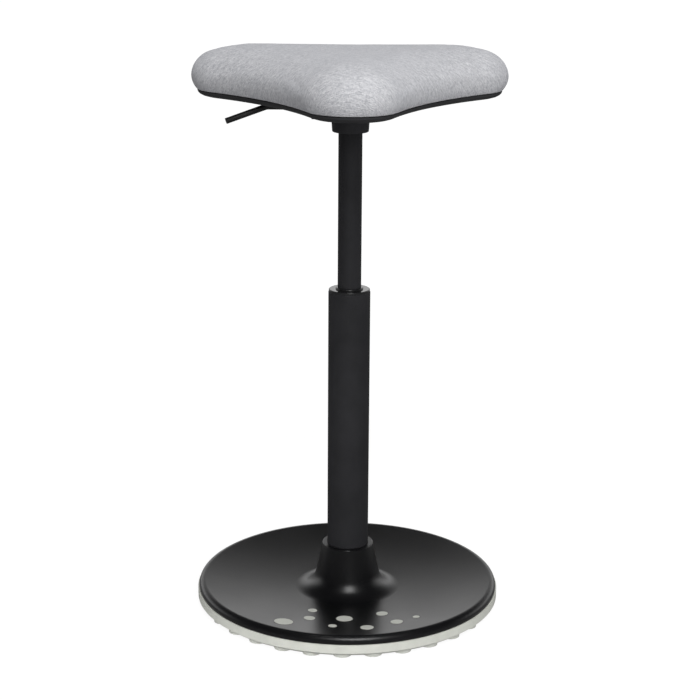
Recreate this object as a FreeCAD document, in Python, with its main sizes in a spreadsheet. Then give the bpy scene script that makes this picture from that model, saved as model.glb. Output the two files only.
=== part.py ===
import FreeCAD, Part
import Sketcher
import math
import os
from types import SimpleNamespace

# Perch stool: a three-lobed padded seat on a gas spring column, on a round weighted base.
# The frame's origin is on the floor under the column, +Z is up, the nose of the seat
# points along -Y and the release lever along -X. Lengths are in millimetres.

doc = FreeCAD.newDocument("perch_stool")
sheet = doc.addObject("Spreadsheet::Sheet", "Sizes")

# Driving sizes: name, number, what it is.
SIZES = [
    ("knob_count", 30, "knobs round the edge of the sole"),
    ("knob_width", 22, "diameter of one knob"),
    ("knob_shift", 7.8, "from the middle line of the stool to the middle of the knob in front"),
    ("knob_drop", 3.1, "height of the knobs under the sole"),
    ("knob_edge", 5, "from the outer side of a knob to the edge of the sole"),
    ("knob_draft", 8, "draft of the side of a knob in degrees"),
    ("sole_radius", 184.8, "outer radius of the rubber ring"),
    ("sole_floor", 2.4, "thickness of the sole under the weight"),
    ("sole_bevel", 6, "width of the bevel under the edge of the ring"),
    ("sole_bevel_height", 4.4, "height of that bevel"),
    ("sole_bore", 31, "radius of the opening in the middle of the sole"),
    ("ring_width", 12, "width of the ring round the weight"),
    ("ring_height", 12.3, "height of the ring above the floor of the sole"),
    ("weight_socket_height", 51, "height of the cast hub above the floor of the sole"),
    ("weight_socket_wall", 5, "wall of the cast hub at its top"),
    ("cover_gap", 1.5, "space between the cast disc and the cover"),
    ("cover_wall", 3, "wall of the cover"),
    ("cover_overhang", 1.5, "ring of the sole standing proud of the cover"),
    ("rim_round", 6.5, "rounding of the rim of the cover"),
    ("dish_stand", 7, "middle of the dish above the floor of the sole"),
    ("dish_depth", 15.7, "middle of the dish below its rim"),
    ("hub_rise", 58.9, "height of the trumpet above the middle of the dish"),
    ("hub_top_radius", 31, "outer radius of the trumpet at its top"),
    ("hub_foot_radius", 43, "outer radius of the trumpet where it meets the dish"),
    ("hub_flare", 24, "hollow rounding at the foot of the trumpet"),
    ("hub_edge", 1, "rounding of the upper edge of the trumpet"),
    ("boss_count", 8, "screw bosses under the cover"),
    ("boss_inset", 29.8, "from the edge of the sole to the circle of bosses"),
    ("boss_radius", 5, "radius of a boss"),
    ("boss_height", 5, "height of a boss under the wall of the cover"),
    ("cover_screw_radius", 2, "radius of the screws in the bosses"),
    ("cover_screw_head", 3.6, "radius of the heads of those screws"),
    ("cover_screw_length", 11, "length of those screws under the head"),
    ("cover_screw_head_height", 2.4, "height of the heads of those screws"),
    ("dot_proud", 0.4, "how far the rubber studs stand above the dish"),
    ("dot_flange_width", 1.6, "width of the flange under a stud"),
    ("dot_flange_wall", 1.2, "thickness of the flange under a stud"),
    ("tube_recess", 7.4, "foot of the standing tube above the sole"),
    ("tube_radius", 25, "outer radius of the standing tube"),
    ("tube_wall", 2, "wall of the standing tube"),
    ("tube_length", 379.5, "length of the standing tube"),
    ("tube_floor", 3, "thickness of the foot of the standing tube"),
    ("tube_taper", 2, "how much slimmer the foot of the tube is, in radius"),
    ("tube_taper_height", 46, "height of the tapered foot"),
    ("tube_edge", 1, "rounding of the upper edge of the standing tube"),
    ("bush_length", 80, "length of the guide bush in the tube"),
    ("bush_flange", 2.8, "thickness of the flange of the bush"),
    ("bush_lip_height", 2, "height of the lip of the bush"),
    ("bush_lip_wall", 2.4, "wall of the lip of the bush"),
    ("spring_radius", 14, "outer radius of the pressure tube"),
    ("spring_wall", 1.6, "wall of the pressure tube"),
    ("spring_length", 308, "length of the pressure tube"),
    ("spring_shoulder", 3, "height of the step in its bore under the socket"),
    ("spring_showing", 184.7, "pressure tube between the bush and the seat socket"),
    ("spring_taper", 0.9, "how much slimmer the top of the pressure tube is, in radius"),
    ("cylinder_radius", 11, "outer radius of the inner cylinder"),
    ("cylinder_wall", 1, "wall of the inner cylinder"),
    ("valve_height", 38, "height of the valve body"),
    ("guide_recess", 2, "rod guide above the foot of the pressure tube"),
    ("guide_height", 18, "height of the rod guide"),
    ("seal_height", 8, "height of the rod seal"),
    ("guide_washer_height", 3, "thickness of the washer over the seal"),
    ("rod_radius", 5, "radius of the piston rod"),
    ("rod_neck_radius", 4, "radius of the foot of the piston rod"),
    ("rod_tail", 3.2, "rod standing below the clip washer"),
    ("piston_lift", 4, "piston above the washer over the seal"),
    ("piston_height", 12, "height of the piston"),
    ("piston_ring_height", 3, "height of the ring on the piston"),
    ("piston_ring_depth", 1.5, "depth of the groove for that ring"),
    ("rod_rivet", 2, "rod standing above the piston"),
    ("pin_radius", 3, "radius of the release pin"),
    ("pin_stand", 4.2, "release pin above the pressure tube"),
    ("pin_length", 36, "length of the release pin"),
    ("race_height", 2, "thickness of a bearing race"),
    ("race_radius", 11, "outer radius of a bearing race"),
    ("ball_radius", 1.5, "radius of a bearing ball"),
    ("ball_count", 8, "balls in the bearing"),
    ("cage_height", 1.2, "thickness of the ball cage"),
    ("bumper_radius", 11, "outer radius of the rubber bumper"),
    ("bumper_height", 12, "height of the rubber bumper"),
    ("clip_washer_radius", 9, "radius of the washer under the tube"),
    ("clip_washer_height", 1.5, "thickness of that washer"),
    ("clip_radius", 7, "outer radius of the rod clip"),
    ("clip_height", 1.2, "thickness of the rod clip"),
    ("clip_groove", 0.8, "depth of the groove for the rod clip"),
    ("socket_height", 17.5, "height of the collar under the seat"),
    ("socket_radius", 22.5, "outer radius of the collar at its top"),
    ("socket_taper", 1.2, "how much slimmer the foot of the collar is, in radius"),
    ("socket_edge", 1.5, "rounding of the foot of the collar"),
    ("plate_wall", 3, "steel thickness of the seat plate"),
    ("plate_length", 116, "seat plate along the lever"),
    ("plate_width", 104, "seat plate across the lever"),
    ("plate_corner", 12, "rounding of the corners of the seat plate"),
    ("channel_depth", 19.5, "inside height of the channel of the seat plate"),
    ("channel_width", 50, "outside width of the channel"),
    ("channel_back", 30, "from the axis to the rear end of the channel"),
    ("channel_nose", 9, "channel beyond the lever pivot"),
    ("bolt_spread_length", 92, "distance of the plate bolts along the lever"),
    ("bolt_spread_width", 80, "distance of the plate bolts across the lever"),
    ("bolt_radius", 3, "radius of the plate bolts"),
    ("bolt_head_radius", 5, "radius of the heads of the plate bolts"),
    ("bolt_head_height", 3.6, "height of the heads of the plate bolts"),
    ("bolt_socket_radius", 2.2, "radius of the key hole in those heads"),
    ("bolt_washer_radius", 6.2, "radius of the washers of the plate bolts"),
    ("bolt_washer_height", 1.4, "thickness of the washers of the plate bolts"),
    ("tee_nut_radius", 4, "radius of the barrel of a tee nut"),
    ("tee_nut_flange_radius", 8.5, "radius of the flange of a tee nut"),
    ("tee_nut_flange_height", 1.5, "thickness of the flange of a tee nut"),
    ("lever_radius", 3.5, "radius of the release lever"),
    ("lever_pivot", 36, "from the axis to the lever pivot"),
    ("lever_inner", 5, "lever beyond the axis"),
    ("lever_straight", 97, "from the axis to the bend of the lever"),
    ("lever_reach", 144, "from the axis to the end of the lever"),
    ("lever_bend", 20, "angle of the bend in degrees"),
    ("lever_bend_radius", 14, "radius of the bend"),
    ("lever_pin_radius", 1.75, "radius of the lever pivot pin"),
    ("lever_pin_stand", 3.5, "pivot pin beyond the channel, each side"),
    ("pin_clip_radius", 4, "radius of the clips on the pivot pin"),
    ("pin_clip_height", 1, "thickness of the clips on the pivot pin"),
    ("board_height", 10, "thickness of the seat board"),
    ("board_inset", 16, "seat board inside the widest outline"),
    ("board_skin", 3, "board left over the ends of the shell screws"),
    ("nose_reach", 184.5, "from the axis to the tip of the nose of the seat"),
    ("nose_radius", 58, "radius of the nose of the seat"),
    ("wing_half_width", 188.5, "from the axis to the side of a wing"),
    ("wing_back", 137.5, "from the axis to the back of a wing"),
    ("wing_radius", 67.5, "radius of a wing of the seat"),
    ("flank_radius", 409, "radius of the hollow flank between nose and wing"),
    ("back_radius", 900, "radius of the hollow back between the wings"),
    ("cover_thickness", 1.6, "thickness of the fabric cover"),
    ("hem_width", 18, "width of the hem turned under the board"),
    ("pad_tuck", 6.3, "how far the pad is drawn in at its foot"),
    ("pad_low", 16, "from the foot of the pad to its widest line"),
    ("pad_roll_width", 44, "width of the rolled upper edge of the pad"),
    ("pad_roll_height", 33.2, "height of the rolled upper edge of the pad"),
    ("pad_crown", 1.6, "rise of the crown inside the rolled edge"),
    ("shell_depth", 8, "height of the black shell"),
    ("shell_groove", 0.8, "groove between the shell and the cover"),
    ("shell_wall", 2.4, "wall of the black shell"),
    ("shell_tuck", 7, "rim of the shell inside the widest outline"),
    ("shell_round", 13, "width of the rounded edge of the shell"),
    ("shell_boss_radius", 7, "radius of the screw bosses in the shell"),
    ("shell_opening_gap", 4, "opening of the shell round the seat plate"),
    ("groove_width", 16, "width of the lever groove in the shell"),
    ("groove_depth", 5.2, "depth of the lever groove in the shell"),
    ("groove_end", 113, "from the axis to the end of the lever groove"),
    ("shell_screw_radius", 1.9, "radius of the shell screws"),
    ("shell_screw_head", 4, "radius of the heads of the shell screws"),
    ("shell_screw_head_height", 2.4, "height of the heads of the shell screws"),
    ("shell_screw_length", 11, "length of the shell screws under the head"),
    ("flank_screw_across", 45, "shell screws in the flanks, from the middle plane"),
    ("flank_screw_ahead", 76, "shell screws in the flanks, ahead of the axis"),
    ("back_screw_behind", 87.5, "shell screw at the back, behind the axis"),
    ("fit", 0.05, "radial clearance of a fit"),
    ("seat_gap", 0.3, "clearance between pieces that only lie together"),
    ("overcut", 1, "how far a cutting block passes the faces that it cuts"),
]

# Round rubber studs in the dish: place along X, distance behind the front of the sole, diameter.
DOTS = [
    (-42.7, 99.5, 11),
    (-46.1, 71.7, 13.4),
    (-76.2, 53.3, 22),
    (-4.8, 72.3, 19.4),
    (-18.9, 44.7, 10),
    (21.2, 38.4, 15.6),
    (40.2, 88.7, 13.8),
    (56.5, 56.6, 14.4),
    (80.1, 70.9, 8),
]
for number, (across, behind, width) in enumerate(DOTS, start=1):
    SIZES.append(("dot_across_%d" % number, across, "stud %d, place along X" % number))
    SIZES.append(("dot_behind_%d" % number, behind, "stud %d, behind the front of the sole" % number))
    SIZES.append(("dot_width_%d" % number, width, "stud %d, diameter" % number))

for row, (alias, number, note) in enumerate(SIZES, start=1):
    sheet.set("A%d" % row, note)
    sheet.set("B%d" % row, str(number))
    sheet.setAlias("B%d" % row, alias)
doc.recompute()


class Size:
    """A size from the sheet, or one worked out from others, with its value and its formula."""

    def __init__(self, value, formula):
        self.value = value
        self.formula = formula

    def worked(self, other, sign, value):
        return Size(value, "(%s %s %s)" % (self.formula, sign, formula_of(other)))

    def __add__(self, other):
        return self.worked(other, "+", self.value + value_of(other))

    def __sub__(self, other):
        return self.worked(other, "-", self.value - value_of(other))

    def __mul__(self, other):
        return self.worked(other, "*", self.value * value_of(other))

    def __truediv__(self, other):
        return self.worked(other, "/", self.value / value_of(other))

    def __neg__(self):
        return Size(-self.value, "(0 - %s)" % self.formula)


def value_of(size):
    return size.value if isinstance(size, Size) else size


def formula_of(size):
    return size.formula if isinstance(size, Size) else repr(size)


def root(size):
    return Size(math.sqrt(size.value), "sqrt(%s)" % size.formula)


given = SimpleNamespace(**{alias: Size(sheet.get(alias), "Sizes." + alias) for alias, _, _ in SIZES})
ZERO = Size(0, "0")

# Heights above the floor, from the knobs up to the crown of the seat.
sole_bottom = given.knob_drop
weight_bottom = sole_bottom + given.sole_floor
ring_top = weight_bottom + given.ring_height
dish_floor = weight_bottom + given.dish_stand
dish_rim = dish_floor + given.dish_depth
hub_top = dish_floor + given.hub_rise
tube_bottom = sole_bottom + given.tube_recess
tube_inside = tube_bottom + given.tube_floor
tube_top = tube_bottom + given.tube_length
flange_top = tube_top + given.bush_flange
lip_top = flange_top + given.bush_lip_height
socket_bottom = lip_top + given.spring_showing
web_bottom = socket_bottom + given.socket_height
web_top = web_bottom + given.plate_wall
spring_top = web_top
spring_bottom = spring_top - given.spring_length
pin_top = spring_top + given.pin_stand
lever_level = pin_top + given.seat_gap + given.lever_radius
plate_bottom = web_top + given.channel_depth
board_bottom = plate_bottom + given.plate_wall
board_top = board_bottom + given.board_height
pad_foot = board_bottom - given.cover_thickness - given.seat_gap
pad_widest = pad_foot + given.pad_low
shell_bottom = pad_foot - given.shell_depth
shell_rim = pad_foot - given.shell_groove
shell_head_level = shell_bottom + given.shell_wall

# Radii that follow from fits.
tube_bore = given.tube_radius - given.tube_wall
spring_bore = given.spring_radius - given.spring_wall
cylinder_bore = given.cylinder_radius - given.cylinder_wall
rod_clear = given.rod_radius + given.fit
neck_clear = given.rod_neck_radius + given.fit
cover_radius = given.sole_radius - given.cover_overhang
boss_circle = given.sole_radius - given.boss_inset
weight_radius = given.sole_radius - given.ring_width - given.seat_gap
bowl_radius = (cover_radius * cover_radius + given.dish_depth * given.dish_depth) / (given.dish_depth * 2)
bowl_centre = dish_floor + bowl_radius


def dish_level(across, along=ZERO):
    """Height of the upper side of the dish, which is hollow like a bowl, at a place on it."""
    return bowl_centre - root(bowl_radius * bowl_radius - across * across - along * along)


boss_foot = dish_level(boss_circle) - given.cover_wall - given.boss_height


def bind(item, prop, size):
    """Ties one property of an object to the sheet."""
    item.setExpression(prop, formula_of(size))


def place(item, across=0, along=0, level=0):
    for axis, size in zip("xyz", (across, along, level)):
        bind(item, "Placement.Base." + axis, size)
    return item


def cylinder(name, radius, level, height, across=0, along=0):
    item = doc.addObject("Part::Cylinder", name)
    bind(item, "Radius", radius)
    bind(item, "Height", height)
    return place(item, across, along, level)


def cone(name, low_radius, high_radius, level, height):
    item = doc.addObject("Part::Cone", name)
    bind(item, "Radius1", low_radius)
    bind(item, "Radius2", high_radius)
    bind(item, "Height", height)
    return place(item, level=level)


def box(name, low, high):
    """A box from its lowest to its highest corner."""
    item = doc.addObject("Part::Box", name)
    for prop, start, end in zip(("Length", "Width", "Height"), low, high):
        bind(item, prop, end - start if isinstance(end, Size) else Size(end, repr(end)) - start)
    return place(item, *low)


def sphere(name, radius, level):
    item = doc.addObject("Part::Sphere", name)
    bind(item, "Radius", radius)
    return place(item, level=level)


def cut(name, base, tool):
    item = doc.addObject("Part::Cut", name)
    item.Base = base
    item.Tool = tool
    return item


def fuse(name, items):
    item = doc.addObject("Part::MultiFuse", name)
    item.Shapes = items
    return item


def common(name, base, tool):
    item = doc.addObject("Part::Common", name)
    item.Base = base
    item.Tool = tool
    return item


def group(name, items):
    """Separate solids kept together in one node."""
    item = doc.addObject("Part::Compound", name)
    item.Links = items
    return item


def ring(name, outer, inner, level, height):
    """A plain ring or washer round the column's axis."""
    body = cylinder(name + "_body", outer, level, height)
    bore = cylinder(name + "_bore", inner, level, height)
    return cut(name, body, bore)


def plane_of(body, role):
    return next(item for item in body.Origin.OriginFeatures if item.Role == role)


def new_sketch(body, role, level=None):
    """A sketch on one of the body's own origin planes, raised to a level if one is given."""
    sketch = body.newObject("Sketcher::SketchObject", body.Name + "_sketch")
    sketch.AttachmentSupport = [(plane_of(body, role), "")]
    sketch.MapMode = "FlatFace"
    if level is not None:
        bind(sketch, "AttachmentOffset.Base.z", level)
    return sketch


def constrain(sketch, kind, places, size):
    """A driving dimension in a sketch, tied to the sheet."""
    index = sketch.addConstraint(Sketcher.Constraint(kind, *places, value_of(size)))
    sketch.setExpression("Constraints[%d]" % index, formula_of(size))


# How a sketch numbers its own axes and the points of an edge.
AXIS = {"across": -1, "up": -2}
POINT = {"start": 1, "end": 2, "centre": 3}


def hold_point(sketch, edge, corner, across, along):
    """Ties a point of the sketch to its two coordinates."""
    for kind, axis, size in (("DistanceX", AXIS["up"], across), ("DistanceY", AXIS["across"], along)):
        if value_of(size) == 0:
            sketch.addConstraint(Sketcher.Constraint("PointOnObject", edge, corner, axis))
        else:
            constrain(sketch, kind, (AXIS["across"], POINT["start"], edge, corner), size)


def bowl_arc(inner, outer):
    """The arc from an inner to an outer point that has its centre on the axis, above them."""
    level = (outer.y + inner.y + (outer.x ** 2 - inner.x ** 2) / (outer.y - inner.y)) / 2
    centre = FreeCAD.Vector(0, level, 0)
    angles = [math.atan2(point.y - level, point.x) for point in (inner, outer)]
    circle = Part.Circle(centre, FreeCAD.Vector(0, 0, 1), inner.distanceToPoint(centre))
    return Part.ArcOfCircle(circle, *angles)


def draw_outline(sketch, points, hollow=()):
    """A closed outline through the given points: straight edges, and arcs where an edge is hollow."""
    corners = [FreeCAD.Vector(value_of(across), value_of(along), 0) for across, along in points]
    count = len(corners)
    ends = []
    for index, corner in enumerate(corners):
        following = corners[(index + 1) % count]
        outward = following.x > corner.x
        ends.append(("start", "end") if outward or index not in hollow else ("end", "start"))
        if index in hollow:
            edge = bowl_arc(corner, following) if outward else bowl_arc(following, corner)
        else:
            edge = Part.LineSegment(corner, following)
        sketch.addGeometry(edge, False)
    for index, (first, last) in enumerate(ends):
        follower = (index + 1) % count
        joint = (index, POINT[last], follower, POINT[ends[follower][0]])
        sketch.addConstraint(Sketcher.Constraint("Coincident", *joint))
        hold_point(sketch, index, POINT[first], *points[index])
    for index in hollow:
        sketch.addConstraint(Sketcher.Constraint("PointOnObject", index, POINT["centre"], AXIS["up"]))


def draw_circle(sketch, across, along, radius):
    centre = FreeCAD.Vector(value_of(across), value_of(along), 0)
    shape = Part.Circle(centre, FreeCAD.Vector(0, 0, 1), value_of(radius))
    index = sketch.addGeometry(shape, False)
    hold_point(sketch, index, POINT["centre"], across, along)
    constrain(sketch, "Radius", (index,), radius)


def turned(name, points, hollow=()):
    """A body turned about the column's axis from an outline of radii and heights."""
    body = doc.addObject("PartDesign::Body", name)
    sketch = new_sketch(body, "XZ_Plane")
    draw_outline(sketch, points, hollow)
    turn = body.newObject("PartDesign::Revolution", name + "_turn")
    turn.Profile = sketch
    turn.ReferenceAxis = (sketch, ["V_Axis"])
    turn.Angle = 360
    doc.recompute()
    return body


def round_edges(body, places, radius):
    """Rounds the circular edges of a turned body that have the given radii and heights."""
    base = body.Tip
    names = []
    for index, edge in enumerate(base.Shape.Edges, start=1):
        if not isinstance(edge.Curve, Part.Circle):
            continue
        for edge_radius, level in places:
            same_radius = abs(edge.Curve.Radius - value_of(edge_radius)) < 1e-4
            if same_radius and abs(edge.Curve.Center.z - value_of(level)) < 1e-4:
                names.append("Edge%d" % index)
    fillet = body.newObject("PartDesign::Fillet", body.Name + "_round")
    fillet.Base = (base, names)
    bind(fillet, "Radius", radius)
    doc.recompute()


def add_pad(body, sketch, height, down=False):
    pad = body.newObject("PartDesign::Pad", body.Name + "_pad")
    pad.Profile = sketch
    pad.Reversed = down
    bind(pad, "Length", height)
    return pad


def add_pocket(body, sketch, depth, up=False):
    pocket = body.newObject("PartDesign::Pocket", body.Name + "_pocket")
    pocket.Profile = sketch
    pocket.Reversed = up
    bind(pocket, "Length", depth)
    return pocket


def repeat_round(body, features, count):
    """Copies features of a body evenly round the column's axis."""
    pattern = body.newObject("PartDesign::PolarPattern", body.Name + "_pattern")
    pattern.Originals = features
    pattern.Axis = (plane_of(body, "Z_Axis"), [""])
    pattern.Angle = 360
    bind(pattern, "Occurrences", count)
    body.Tip = pattern
    doc.recompute()


def make_base_sole():
    """Rubber sole: floor, ring round the weight, opening in the middle and knobs at the edge."""
    ring_bore = given.sole_radius - given.ring_width
    body = turned("base_sole", [
        (given.sole_bore, sole_bottom),
        (given.sole_radius - given.sole_bevel, sole_bottom),
        (given.sole_radius, sole_bottom + given.sole_bevel_height),
        (given.sole_radius, ring_top),
        (ring_bore, ring_top),
        (ring_bore, weight_bottom),
        (given.sole_bore, weight_bottom),
    ])
    knob_circle = given.sole_radius - given.knob_edge - given.knob_width / 2
    knob_ahead = root(knob_circle * knob_circle - given.knob_shift * given.knob_shift)
    sketch = new_sketch(body, "XY_Plane")
    draw_circle(sketch, -given.knob_shift, -knob_ahead, given.knob_width / 2)
    knob = add_pad(body, sketch, sole_bottom + given.sole_floor / 2)
    bind(knob, "TaperAngle", given.knob_draft)
    repeat_round(body, [knob], given.knob_count)
    return body


def make_base_weight():
    """Cast disc, hollow like the dish over it, with the tapered socket of the standing tube."""
    socket_top = weight_bottom + given.weight_socket_height
    under_dish = given.cover_wall + given.cover_gap
    taper_rate = given.tube_taper / given.tube_taper_height
    low_bore = given.tube_radius - given.tube_taper + taper_rate * (weight_bottom - tube_bottom) + given.fit
    high_bore = given.tube_radius - given.tube_taper + taper_rate * (socket_top - tube_bottom) + given.fit
    foot_radius = given.hub_foot_radius - under_dish
    foot_level = dish_level(foot_radius) - under_dish
    body = turned("base_weight", [
        (low_bore, weight_bottom),
        (weight_radius, weight_bottom),
        (weight_radius, dish_level(weight_radius) - under_dish),
        (foot_radius, foot_level),
        (given.tube_radius + given.weight_socket_wall, socket_top),
        (high_bore, socket_top),
    ], hollow=[2])
    round_edges(body, [(foot_radius, foot_level)], given.hub_flare + under_dish)
    shank = new_sketch(body, "XY_Plane", weight_bottom)
    draw_circle(shank, boss_circle, 0, given.cover_screw_radius + given.seat_gap)
    hole = add_pocket(body, shank, boss_foot - weight_bottom, up=True)
    recess = new_sketch(body, "XY_Plane", weight_bottom)
    draw_circle(recess, boss_circle, 0, given.cover_screw_head + given.seat_gap)
    head_seat = add_pocket(body, recess, given.cover_screw_head_height + given.seat_gap, up=True)
    spot = new_sketch(body, "XY_Plane", boss_foot)
    draw_circle(spot, boss_circle, 0, given.boss_radius + given.seat_gap)
    boss_seat = add_pocket(body, spot, given.boss_height, up=True)
    repeat_round(body, [hole, head_seat, boss_seat], given.boss_count)
    return body


def make_base_cover():
    """Black dish with a trumpet hub, a rounded rim, holes for the studs and screw bosses."""
    rim_bottom = ring_top
    inner_rim = cover_radius - given.cover_wall
    inner_rim_level = dish_level(inner_rim) - given.cover_wall
    hub_bore = given.tube_radius + given.seat_gap
    inner_top = given.hub_top_radius - given.cover_wall
    inner_foot = given.hub_foot_radius - given.cover_wall
    foot_level = dish_level(given.hub_foot_radius)
    inner_foot_level = dish_level(inner_foot) - given.cover_wall
    body = turned("base_cover", [
        (hub_bore, hub_top),
        (given.hub_top_radius, hub_top),
        (given.hub_foot_radius, foot_level),
        (cover_radius, dish_rim),
        (cover_radius, rim_bottom),
        (inner_rim, rim_bottom),
        (inner_rim, inner_rim_level),
        (inner_foot, inner_foot_level),
        (inner_top, hub_top - given.cover_wall),
        (hub_bore, hub_top - given.cover_wall),
    ], hollow=[2, 6])
    round_edges(body, [(given.hub_foot_radius, foot_level)], given.hub_flare)
    round_edges(body, [(inner_foot, inner_foot_level)], given.hub_flare + given.cover_wall)
    round_edges(body, [(cover_radius, dish_rim)], given.rim_round)
    round_edges(body, [(inner_rim, inner_rim_level)], given.rim_round - given.cover_wall)
    round_edges(body, [(given.hub_top_radius, hub_top)], given.hub_edge)
    for across, along, width in dot_sizes():
        sketch = new_sketch(body, "XY_Plane", dish_rim)
        draw_circle(sketch, across, along, width / 2 + given.fit)
        body.Tip = add_pocket(body, sketch, given.dish_depth + given.cover_wall)
        doc.recompute()
    sketch = new_sketch(body, "XY_Plane", boss_foot)
    draw_circle(sketch, boss_circle, 0, given.boss_radius)
    boss = add_pad(body, sketch, given.boss_height + given.cover_wall / 2)
    bore = new_sketch(body, "XY_Plane", boss_foot)
    draw_circle(bore, boss_circle, 0, given.cover_screw_radius + given.fit)
    hole = add_pocket(body, bore, given.boss_height, up=True)
    repeat_round(body, [boss, hole], given.boss_count)
    return body


def dot_sizes():
    """Place along X, place along Y and diameter of each stud."""
    for number in range(1, len(DOTS) + 1):
        across, behind, width = [
            getattr(given, "dot_%s_%d" % (word, number)) for word in ("across", "behind", "width")
        ]
        yield across, behind - given.sole_radius, width


def make_grip_dots():
    """Rubber studs pushed up through the dish, each with a flange under it that follows the bowl."""
    heads = []
    flanges = []
    for number, (across, along, width) in enumerate(dot_sizes(), start=1):
        for items, radius in ((heads, width / 2), (flanges, width / 2 + given.dot_flange_width)):
            name = "stud_%d_%d" % (number, len(heads) - len(flanges))
            items.append(cylinder(name, radius, weight_bottom, dish_rim - weight_bottom, across, along))
    under = bowl_centre - given.cover_wall
    over_heads = sphere("over_heads", bowl_radius, bowl_centre + given.dot_proud)
    over_flanges = sphere("over_flanges", bowl_radius, under)
    over_weight = sphere("over_weight", bowl_radius, under - given.dot_flange_wall)
    whole = fuse("whole_studs", [
        cut("stud_heads", fuse("head_bars", heads), over_heads),
        cut("stud_flanges", fuse("flange_bars", flanges), over_flanges),
    ])
    return common("grip_dots", whole, over_weight)


def make_screws(name, places, shank, head, head_level, head_height, length, key_radius):
    """Upright screws with their heads down: a round head with a key hole, and a shank."""
    screws = []
    for number, (across, along) in enumerate(places, start=1):
        part_name = "%s_%d" % (name, number)
        body = cylinder(part_name + "_head", head, head_level, head_height, across, along)
        stem = cylinder(part_name + "_stem", shank, head_level + head_height / 2, head_height / 2 + length,
                        across, along)
        screw = fuse(part_name + "_whole", [body, stem])
        key = cylinder(part_name + "_key", key_radius, head_level, head_height / 2, across, along)
        screws.append(cut(part_name, screw, key))
    return group(name, screws)


def turn_places(count, radius):
    """Places on a circle as formulas, from the sheet's own radius."""
    for index in range(int(value_of(count))):
        angle = 2 * math.pi * index / int(value_of(count))
        yield radius * round(math.cos(angle), 9), radius * round(math.sin(angle), 9)


def make_cover_screws():
    return make_screws("cover_screws", turn_places(given.boss_count, boss_circle),
                       given.cover_screw_radius, given.cover_screw_head, weight_bottom + given.seat_gap,
                       given.cover_screw_head_height, given.cover_screw_length, given.cover_screw_radius / 2)


def make_standing_tube():
    """Outer tube: tapered foot with a floor, straight above."""
    foot_radius = given.tube_radius - given.tube_taper
    taper_top = tube_bottom + given.tube_taper_height
    body = turned("standing_tube", [
        (neck_clear + given.seat_gap, tube_bottom),
        (foot_radius, tube_bottom),
        (given.tube_radius, taper_top),
        (given.tube_radius, tube_top),
        (tube_bore, tube_top),
        (tube_bore, taper_top),
        (foot_radius - given.tube_wall, tube_inside),
        (neck_clear + given.seat_gap, tube_inside),
    ])
    round_edges(body, [(given.tube_radius, tube_top)], given.tube_edge)
    return body


def make_guide_bush():
    """Plastic bush in the standing tube, with a flange on the tube and a lip round the spring."""
    bore = given.spring_radius + given.fit
    flange_radius = given.tube_radius - given.tube_edge / 2
    lip_radius = bore + given.bush_lip_wall
    body = turned("guide_bush", [
        (bore, tube_top - given.bush_length),
        (tube_bore - given.fit, tube_top - given.bush_length),
        (tube_bore - given.fit, tube_top),
        (flange_radius, tube_top),
        (flange_radius, flange_top),
        (lip_radius, flange_top),
        (lip_radius, lip_top),
        (bore, lip_top),
    ])
    round_edges(body, [(flange_radius, flange_top), (lip_radius, lip_top)], given.tube_edge)
    return body


def make_pressure_tube():
    """The 28 mm tube of the spring: open at its foot, tapered in the seat socket."""
    return turned("pressure_tube", [
        (spring_bore, spring_bottom),
        (given.spring_radius, spring_bottom),
        (given.spring_radius, socket_bottom),
        (given.spring_radius - given.spring_taper, spring_top),
        (spring_bore - given.spring_taper, spring_top),
        (spring_bore - given.spring_taper, socket_bottom),
        (spring_bore, socket_bottom - given.spring_shoulder),
    ])


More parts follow.
